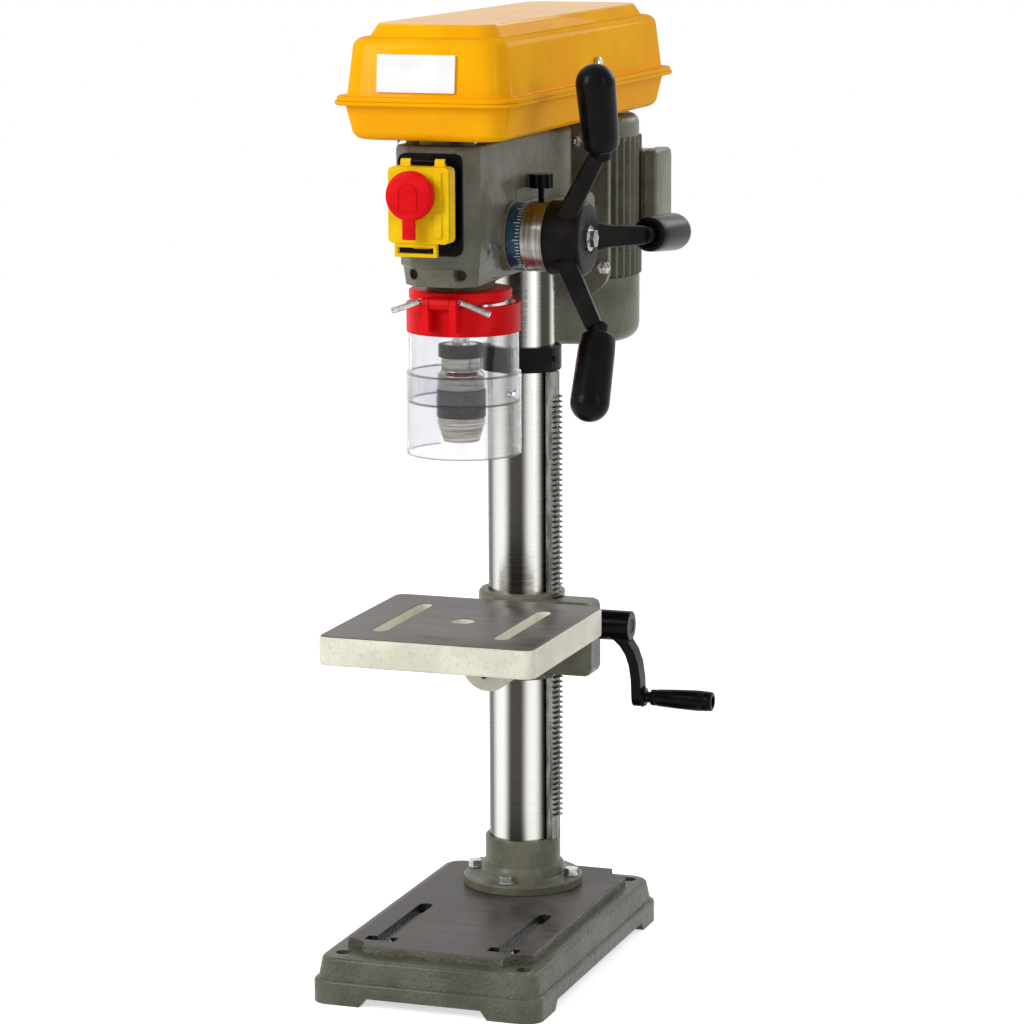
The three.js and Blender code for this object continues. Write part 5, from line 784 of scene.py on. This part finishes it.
# %% Motor
MOTOR = (0, MOTOR_Y, 0)
RIB_COUNT, RIB_RADIUS, RIB_DEPTH, RIB_FOOT, RIB_HEIGHT = 44, 65.4, 4.6, 590, 126
bell = lathe([(0, 712), (63, 712), (63, 727)] + arc(54, 727, 9, 0, 90)[1:]
             + [(30, 736), (28, 734.6), (0, 734.6)], UP, MOTOR)
foot = block(-40, 40, 68.3, 100, 600, 724)
lugs = [block(x - 6, x + 6, 72.5 + abs(x) * 0.12, 96, RIB_FOOT, 728) for x in (-44, 44)]
ribbed = fluted(RIB_RADIUS, RIB_DEPTH, RIB_COUNT, RIB_FOOT, RIB_HEIGHT, MOTOR)
finish_piece(together(ribbed, bell, foot, *lugs), "motor_case", castings, "motor_carrier",
             ["motor_body"], 0.7)
cup = lathe([(0, 529), (48.5, 529)] + arc(48.5, 544, 15, -90, 0)[1:]
            + [(63.5, 588.4), (62.6, 589.6), (0, 589.6)], UP, MOTOR)
finish_piece(cup, "motor_cup_pressed", castings, "motor_carrier", ["motor_cup"], 0.4)
print("motor with", RIB_COUNT, "ribs")

# %% [markdown]
# Pressed sheet and hollow castings are drawn as solids from their outline upwards: a flat
# face with round corners is raised level by level, and drawn in where the wall leans or
# rounds. Scaling the raised face about its own middle draws every side in by the same step.

# %% Raised faces
def round_face(west, east, south, north, corner, z, steps=10):
    """One flat face with round corners."""
    bm = bmesh.new()
    bmesh.ops.create_grid(bm, x_segments=1, y_segments=1, size=0.5)
    bmesh.ops.scale(bm, vec=(east - west, north - south, 1), verts=bm.verts)
    bmesh.ops.translate(bm, vec=((west + east) / 2, (south + north) / 2, z), verts=bm.verts)
    bmesh.ops.bevel(bm, geom=bm.verts[:], offset=corner, segments=steps, profile=0.5,
                    affect="VERTICES", material=-1)
    return bm


def raise_face(bm, z, draw_x=0.0, draw_y=None):
    """Lift the top face to z, and draw its edge in on each side."""
    draw_y = draw_x if draw_y is None else draw_y
    face = max(bm.faces, key=lambda f: f.calc_center_median().z)
    grown = bmesh.ops.extrude_face_region(bm, geom=[face])["geom"]
    if face.is_valid and len(bm.faces) > len(face.verts) + 2:
        bmesh.ops.delete(bm, geom=[face], context="FACES_ONLY")
    verts = [v for v in grown if isinstance(v, bmesh.types.BMVert)]
    lows = [min(v.co[i] for v in verts) for i in range(3)]
    highs = [max(v.co[i] for v in verts) for i in range(3)]
    middle = Vector(((lows[0] + highs[0]) / 2, (lows[1] + highs[1]) / 2, 0))
    size_x, size_y = (highs[0] - lows[0]) / 2, (highs[1] - lows[1]) / 2
    bmesh.ops.scale(bm, vec=((size_x - draw_x) / size_x, (size_y - draw_y) / size_y, 1),
                    space=Matrix.Translation(-middle), verts=verts)
    bmesh.ops.translate(bm, vec=(0, 0, z - lows[2]), verts=verts)


def quarter(bm, from_z, radius, steps=5):
    """Round the wall over into the flat, in small steps."""
    for i in range(steps):
        a, b = math.pi / 2 * i / steps, math.pi / 2 * (i + 1) / steps
        raise_face(bm, from_z + radius * math.sin(b), radius * (math.cos(a) - math.cos(b)))


print("raised faces ready")

# %% [markdown]
# The feed arms are cast: broad where they leave the hub, slim at the grip, and leaning
# outwards so that the hand clears the head. One flat face, raised twice and drawn in each
# time, gives the bar, and a wide soft edge makes it look poured and not sawn.

# %% Feed arms
ROOT_RHO, ROOT_X, ROOT_WIDTH, ROOT_DEPTH, TIP_SINK = 26.0, 91.0, 30.0, 17.0, 3.3
NECK, NECK_RADIUS = 12.0, 7.5
for number, degrees in enumerate(SPOKES, 1):
    away, out, foot = spoke(degrees)
    root = Vector(FEED) + away * ROOT_RHO + Vector((ROOT_X, 0, 0))
    tip = Vector(FEED) + away * (TIP_RHO - NECK / 2) + Vector((TIP_X - TIP_SINK, 0, 0))
    along = (tip - root).normalized()
    across = Vector(RIGHT).cross(away)
    bar = bmesh.new()
    bmesh.ops.create_grid(bar, x_segments=1, y_segments=1, size=0.5)
    bmesh.ops.scale(bar, vec=(ROOT_WIDTH, ROOT_DEPTH, 1), verts=bar.verts)
    raise_face(bar, 24, 5.0, 0.6)
    raise_face(bar, (tip - root).length, 2.0, 0.8)
    turn = Matrix((across, along.cross(across), along)).transposed().to_4x4()
    bmesh.ops.transform(bar, matrix=Matrix.Translation(root) @ turn, verts=bar.verts)
    neck = lathe([(0, -NECK), (NECK_RADIUS, -NECK), (NECK_RADIUS, 0), (0, 0)], out, foot, steps=48)
    finish_piece(together(bar, neck), f"feed_arm_{number}_cast", black_iron, "feed",
                 [f"feed_arm_{number}"], 2.4, 4)
print("three feed arms", ROOT_WIDTH, "mm broad at the hub")

# %% [markdown]
# The belt cover has a pan and a lid, each pressed from sheet, that meet in a rolled seam.
# Each is drawn twice, once as it is outside and once smaller by the sheet's thickness; the
# smaller form is later taken away from the inside, which leaves a wall of even thickness.

# %% Cover forms
COVER_HALF, COVER_FRONT, COVER_BACK, SEAM = 72.0, -250.0, 208.0, 7.0
PAN_FLOOR, PAN_INSET = 739.7, 13.0
SEAM_LOW, SEAM_PAN, SEAM_LID, SEAM_HIGH = 768.5, 772.1, 772.4, 776.0
LID_SHOULDER, LID_FLAT, LID_TOP, CORNER, BEND, SHEET = 815.0, 824.0, 834.5, 22.0, 9.0, 1.6
PLATEAU_SIDE, PLATEAU_END = 1.0, 6.0


def outline(inset, z):
    """The cover's outline, drawn in by inset."""
    half = COVER_HALF - inset
    return round_face(-half, half, COVER_FRONT + inset, COVER_BACK - inset,
                      CORNER - inset * 0.4, z)


def lid_form(skin):
    """The lid as a solid; skin draws all of it inwards."""
    bm = outline(skin if skin else -SEAM, SEAM_LID - (1.0 if skin else 0.0))
    if not skin:
        raise_face(bm, SEAM_HIGH - 1)
        raise_face(bm, SEAM_HIGH, 1.0)
        raise_face(bm, SEAM_HIGH + 0.01, SEAM - 1.5)
        raise_face(bm, SEAM_HIGH + 1, 0.5)
    raise_face(bm, LID_SHOULDER - skin, 4.0)
    quarter(bm, LID_SHOULDER - skin, BEND)
    raise_face(bm, LID_FLAT - skin + 0.01, PLATEAU_SIDE, PLATEAU_END)
    raise_face(bm, LID_FLAT - skin + 1.2, 0.8)
    raise_face(bm, LID_TOP - skin - 1.0, 4.5)
    raise_face(bm, LID_TOP - skin, 0.9)
    return bm


def pan_form(skin, steps=5):
    """The pan as a solid, from its floor up to the seam."""
    bm = outline(PAN_INSET + skin, PAN_FLOOR + skin)
    for i in range(steps):
        a, b = math.pi / 2 * i / steps, math.pi / 2 * (i + 1) / steps
        raise_face(bm, PAN_FLOOR + skin + BEND * (1 - math.cos(b)),
                   -BEND * (math.sin(b) - math.sin(a)))
    raise_face(bm, SEAM_LOW + (8.0 if skin else 0.0), -4.0)
    if not skin:
        raise_face(bm, SEAM_LOW + 0.01, -(SEAM - 1))
        raise_face(bm, SEAM_LOW + 1, -1.0)
        raise_face(bm, SEAM_PAN)
    return bm


print("cover forms drawn")

# %% [markdown]
# A Boolean modifier takes one closed form away from another, like a cutter, or joins it on.
# It is applied at once and the other forms are thrown away, so the piece is a plain mesh.

# %% Cut the cover hollow
def combine(operation, bm, *others):
    """Join or cut closed forms with the first one."""
    def as_object(form):
        bmesh.ops.remove_doubles(form, verts=form.verts, dist=0.0005)
        bmesh.ops.recalc_face_normals(form, faces=form.faces)
        mesh = bpy.data.meshes.new("form")
        form.to_mesh(mesh)
        form.free()
        made = bpy.data.objects.new("form", mesh)
        bpy.context.scene.collection.objects.link(made)
        return made

    body, tools = as_object(bm), [as_object(other) for other in others]
    for tool in tools:
        cut = body.modifiers.new("cut", "BOOLEAN")
        cut.operation, cut.solver, cut.object = operation, "EXACT", tool
    result = bmesh.new()
    result.from_object(body, bpy.context.evaluated_depsgraph_get())
    for made in [body] + tools:
        mesh = made.data
        bpy.data.objects.remove(made)
        bpy.data.meshes.remove(mesh)
    return result


def cut_away(bm, *cutters): return combine("DIFFERENCE", bm, *cutters)
def fused(bm, *others): return combine("UNION", bm, *others)


SHAFT_ROOM, BELT_TRAVEL, BELOW_PAN, ABOVE_FLOOR = 24.0, 12, 730, 745
windows = [block(-SHAFT_ROOM, SHAFT_ROOM, MOTOR_Y - SHAFT_ROOM - BELT_TRAVEL,
                 MOTOR_Y + SHAFT_ROOM, BELOW_PAN, ABOVE_FLOOR),
           lathe([(0, BELOW_PAN), (SHAFT_ROOM, BELOW_PAN), (SHAFT_ROOM, ABOVE_FLOOR),
                  (0, ABOVE_FLOOR)], UP, SPINDLE, steps=48)]
finish_piece(cut_away(pan_form(0.0), pan_form(SHEET), *windows), "cover_pan_pressed",
             yellow, "stand", ["cover_pan"])
finish_piece(cut_away(lid_form(0.0), lid_form(SHEET)), "cover_lid_pressed",
             yellow, "lid", ["cover_lid"])
print("cover", COVER_BACK - COVER_FRONT, "mm long, seam at", SEAM_PAN)

# %% [markdown]
# The base is one casting: a skirt on four feet, a ledge with four anchor holes, and a milled
# plateau with two slots. It uses the same two tools as the cover, faces raised level by
# level and then cutters, so every long edge gets a round corner of its own size. First comes
# the outside, with a notch in the plateau beside each anchor hole.

# %% Base outside
BASE, PLATEAU = (-104.0, 104.0, -263.5, 81.8), (-84.8, 84.8, -238.9, 65.2)
BASE_CORNER, BAND, BAND_ROUND = 16.0, 21, 3
LEDGE, LEDGE_INSET, LEDGE_ROUND, TOP, TOP_ROUND = 39.7, 5.5, 3.5, 47.3, 1.2
ANCHORS = [(x, y) for x in (-82, 82) for y in (-237.7, 59.8)]


def base_face(inset, corner, z, steps=10):
    """The base's outline, drawn in by inset."""
    west, east, south, north = BASE
    return round_face(west + inset, east - inset, south + inset, north - inset, corner, z, steps)


def rod(radius, low, high, x=0, y=0, steps=48):
    """An upright round bar, to join on or to drill with."""
    return lathe([(0, low), (radius, low), (radius, high), (0, high)], UP, (x, y, 0), steps=steps)


skirt = base_face(0, BASE_CORNER, 0)
raise_face(skirt, BAND - BAND_ROUND)
quarter(skirt, BAND - BAND_ROUND, BAND_ROUND)
raise_face(skirt, LEDGE - LEDGE_ROUND, LEDGE_INSET - BAND_ROUND)
quarter(skirt, LEDGE - LEDGE_ROUND, LEDGE_ROUND)
plateau = round_face(*PLATEAU, 5, LEDGE - 4, 4)
raise_face(plateau, TOP - TOP_ROUND, 0.6)
quarter(plateau, TOP - TOP_ROUND, TOP_ROUND, 3)
base = fused(skirt, cut_away(plateau, *[rod(18, 31, 60, x, y, 64) for x, y in ANCHORS]))
print("base outside of", len(base.faces), "faces")

# %% [markdown]
# The casting is hollow below, with two ribs and a thick boss under the flange. The slots have
# a wide pocket at the front, where a bolt's head goes in. Two wide shallow cutters under the
# rim leave only the four corners standing, and those are the feet.

# %% Hollow the base
SLOT, SLOT_WIDE, SLOT_FRONT, SLOT_BACK = 56, 12.5, -218, -104.25
POCKET_WIDE, POCKET_FRONT, POCKET_BACK = 27.5, -219, -207
CUT_LOW, CUT_HIGH, FOOT_HEIGHT, FOOT_SPLAY = 10, 60, 8.1, 7.0
hollow = base_face(9, 10, -1, 4)
raise_face(hollow, 31.2, 5.5)
base = cut_away(base, hollow, block(-75.8, 75.8, -192, 15, 31, 38.8))
base = fused(base, *[block(x - 3, x + 3, -255, 73, 21, 38) for x in (-33, 33)],
             rod(52, 20, 42, steps=96))
cutters = [rod(6.5, -1, CUT_HIGH, x, y) for x, y in ANCHORS]
for x in (-SLOT, SLOT):
    for wide, south, north in ((SLOT_WIDE, SLOT_FRONT, SLOT_BACK),
                               (POCKET_WIDE, POCKET_FRONT, POCKET_BACK)):
        cutters.append(block(x - wide / 2, x + wide / 2, south, north, CUT_LOW, CUT_HIGH))
    cutters.append(rod(SLOT_WIDE / 2, CUT_LOW, CUT_HIGH, x, SLOT_BACK))
for sides, splay in (((-59, 59, -270, 90), (FOOT_SPLAY, 0.0)),
                     ((-110, 110, -218.5, 36.8), (0.0, FOOT_SPLAY))):
    gap = round_face(*sides, 0.01, -1, 1)
    raise_face(gap, FOOT_HEIGHT, *splay)
    cutters.append(gap)
finish_piece(cut_away(base, *cutters), "base_cast", base_paint, "stand", ["base_casting"])
print("base with", len(cutters), "cuts")

# %% [markdown]
# The drill guard is two clear tubes, one sliding in the other, open at the back for the
# column. A red band holds the upper one. They are spun through three quarters of a turn, and
# the cut ends are closed, because only a closed wall reads as thick clear plastic.

# %% Guard tubes
GUARD, OPEN_SHARE, OPEN_FROM = (0, -150, 0), 0.75, math.radians(135)
for name, outer, wall, low, high, rides in (("guard_tube", 47.2, 2.2, 512, 595, "guard"),
                                            ("guard_sleeve", 49.2, 1.8, 467, 537,
                                             "guard_sleeve_body")):
    tube = lathe([(outer - wall, low), (outer, low), (outer, high), (outer - wall, high)],
                 UP, GUARD, OPEN_SHARE, OPEN_FROM)
    finish_piece(tube, name + "_clear", clear, rides, [name], 0.3)
print("guard tubes ready")

# %% [markdown]
# Two close wound springs stand out from the band's ears; pulling on them opens the guard.
# One spin with a step along the axis carries a small ring round and forward, which is how
# the wire lies in a real coil.

# %% Guard springs
SPRING_RADIUS, SPRING_WIRE, SPRING_TURNS, SPRING_LENGTH = 2.8, 0.55, 22, 26.0
DROOP, TURN_STEPS = math.radians(19), 20


def coil(start, direction):
    """A close wound spring: a small ring carried round and along by one spin."""
    bm = bmesh.new()
    wire = bmesh.ops.create_circle(bm, radius=SPRING_WIRE, segments=8)["verts"]
    bmesh.ops.rotate(bm, verts=wire, cent=(0, 0, 0), matrix=Matrix.Rotation(math.pi / 2, 3, "X"))
    bmesh.ops.translate(bm, vec=(SPRING_RADIUS - SPRING_WIRE, 0, 0), verts=wire)
    steps = SPRING_TURNS * TURN_STEPS
    bmesh.ops.spin(bm, geom=bm.verts[:] + bm.edges[:], cent=(0, 0, 0), axis=UP,
                   dvec=(0, 0, SPRING_LENGTH / steps), angle=math.tau * SPRING_TURNS, steps=steps)
    bmesh.ops.holes_fill(bm, edges=[e for e in bm.edges if e.is_boundary], sides=0)
    turn = Vector(UP).rotation_difference(Vector(direction)).to_matrix().to_4x4()
    bmesh.ops.transform(bm, matrix=Matrix.Translation(start) @ turn, verts=bm.verts)
    return bm


for side, name in ((-1, "guard_spring_left"), (1, "guard_spring_right")):
    direction = Vector((side * math.cos(DROOP), 0, -math.sin(DROOP)))
    start = Vector((side * 18.2, -206.0, 602.6))
    hook = lathe([(1.5, -0.4), (1.9, 0), (1.5, 0.4), (1.1, 0)], BACK, (side * 16.9, -206.0, 603.1),
                 steps=24)
    tip = lathe([(0, 0), (1.9, 0), (2.2, 1), (0, 1.2)], direction,
                start + direction * SPRING_LENGTH, steps=24)
    finish_piece(together(coil(start, direction), hook, tip), name + "_wound", bright, "guard",
                 [name])
print("two springs of", SPRING_TURNS, "turns")

# %% [markdown]
# The switch has a yellow flap over two push buttons, and a red paddle on it that stops the
# machine at a slap. The flap's raised ribs, its pull loop and the paddle's tongue are small
# boxes with soft edges. The paddle is turned, and a groove in the shape of an arch is cut in it.

# %% Switch details
FLAP_FRONT, PADDLE_FRONT, PADDLE_X, PADDLE_Z = -257.1, -270.6, -4.0, 697.0
RIBS = ((662, 683), (694, 716))
ribs = [block(13.5, 20.5, FLAP_FRONT - 1.6, FLAP_FRONT + 2, low, high) for low, high in RIBS]
side = block(23, 26.8, FLAP_FRONT - 0.9, FLAP_FRONT + 3, 660, 717)
finish_piece(together(side, *ribs), "flap_ribs", yellow_plastic, "switch_flap", [], 0.6)
loop = cut_away(block(-22, 15, -255.5, -250.5, 645.5, 659), block(-19, 12, -257, -248, 648.5, 653.5))
finish_piece(loop, "flap_pull_loop", yellow_plastic, "switch_flap", [], 0.6)
tongue = block(PADDLE_X - 6, PADDLE_X + 5, PADDLE_FRONT + 1.2, PADDLE_FRONT + 5, 661, 682)
finish_piece(tongue, "paddle_tongue", red, "stop_paddle_body", [], 0.8)


def arch(half, foot, front, back, steps=24):
    """A round-headed plate: one face that is drawn back to a solid."""
    bm = bmesh.new()
    head = [(PADDLE_X + half * math.cos(math.pi * i / steps),
             PADDLE_Z + 2 + half * math.sin(math.pi * i / steps)) for i in range(steps + 1)]
    feet = [(PADDLE_X - half, foot), (PADDLE_X + half, foot)]
    face = bm.faces.new([bm.verts.new((x, front, z)) for x, z in head + feet])
    pull(bm, [face], (0, back - front, 0))
    return bm


paddle = lathe([(0, 0), (17.6, 0)] + arc(17.6, 2.9, 2.9, -90, 0)[1:]
               + [(20.5, 8), (5, 8), (5, 26), (0, 26)], BACK, (PADDLE_X, PADDLE_FRONT, PADDLE_Z))
groove = cut_away(arch(8.6, PADDLE_Z - 13, PADDLE_FRONT - 1, PADDLE_FRONT + 0.6),
                  arch(7.5, PADDLE_Z - 12, PADDLE_FRONT - 2, PADDLE_FRONT + 1))
finish_piece(cut_away(paddle, groove), "stop_paddle_moulded", red, "stop_paddle_body",
             ["stop_paddle"])
print("switch details ready")

# %% [markdown]
# Small things make a machine look real: the bare label plate, the screws of the cover and
# the motor, and the plug beside the tension knob. Each sits on the face that carries it and
# rides with that body.

# %% Screws and plates
def screw(centre, axis, radius, height):
    """A domed screw head with its washer."""
    return lathe([(0, 0), (radius * 1.35, 0), (radius * 1.35, 0.5), (radius, 0.6)]
                 + arc(0, 0.6, radius, 0, 90, 5)[1:-1] + [(0, height)], axis, centre, steps=24)


def place_name(kind, x, z):
    """A piece's name from its place, with m for minus."""
    return f"{kind}_{x}_{round(z)}".replace("-", "m")


plate = block(-38, 30, -250.6, -248.6, 780, 811)
bmesh.ops.rotate(plate, verts=plate.verts, cent=(0, -249.4, 795.5),
                 matrix=Matrix.Rotation(math.radians(-5.4), 3, "X"))
finish_piece(plate, "label_plate_bare", label, "lid", [], 0.3)

FORWARD, DOWNWARD = (0, -1, 0), (0, 0, -1)
NUT = [(0, 0), (6.4, 0), (6.4, 1.2), (4.9, 1.3), (4.9, 5.2), (2.6, 5.4), (2.6, 8), (0, 8.4)]
finish_piece(screw((35.2, -7.3, 703), RIGHT, 6.2, 2.4), "head_side_plug", castings, "stand",
             [], 0.3)
for z in (724.4, 648.6):
    finish_piece(screw((0, -229.8, z), FORWARD, 2.6, 1.6), f"switch_screw_{round(z)}",
                 black_iron, "stand")
for x, y in ((-34, -214), (34, -214), (-34, 60), (34, 60)):
    finish_piece(screw((x, y, 739.8), DOWNWARD, 3.0, 5.0), place_name("pan_screw", x, y),
                 bright, "stand")
for x, z in ((31, 717), (-31, 717), (58, 604.5), (-58, 604.5)):
    finish_piece(lathe(NUT, FORWARD, (x, 60, z), steps=6), place_name("plate_nut", x, z),
                 bright, "motor_carrier", [], 0.3)
print("small parts ready")
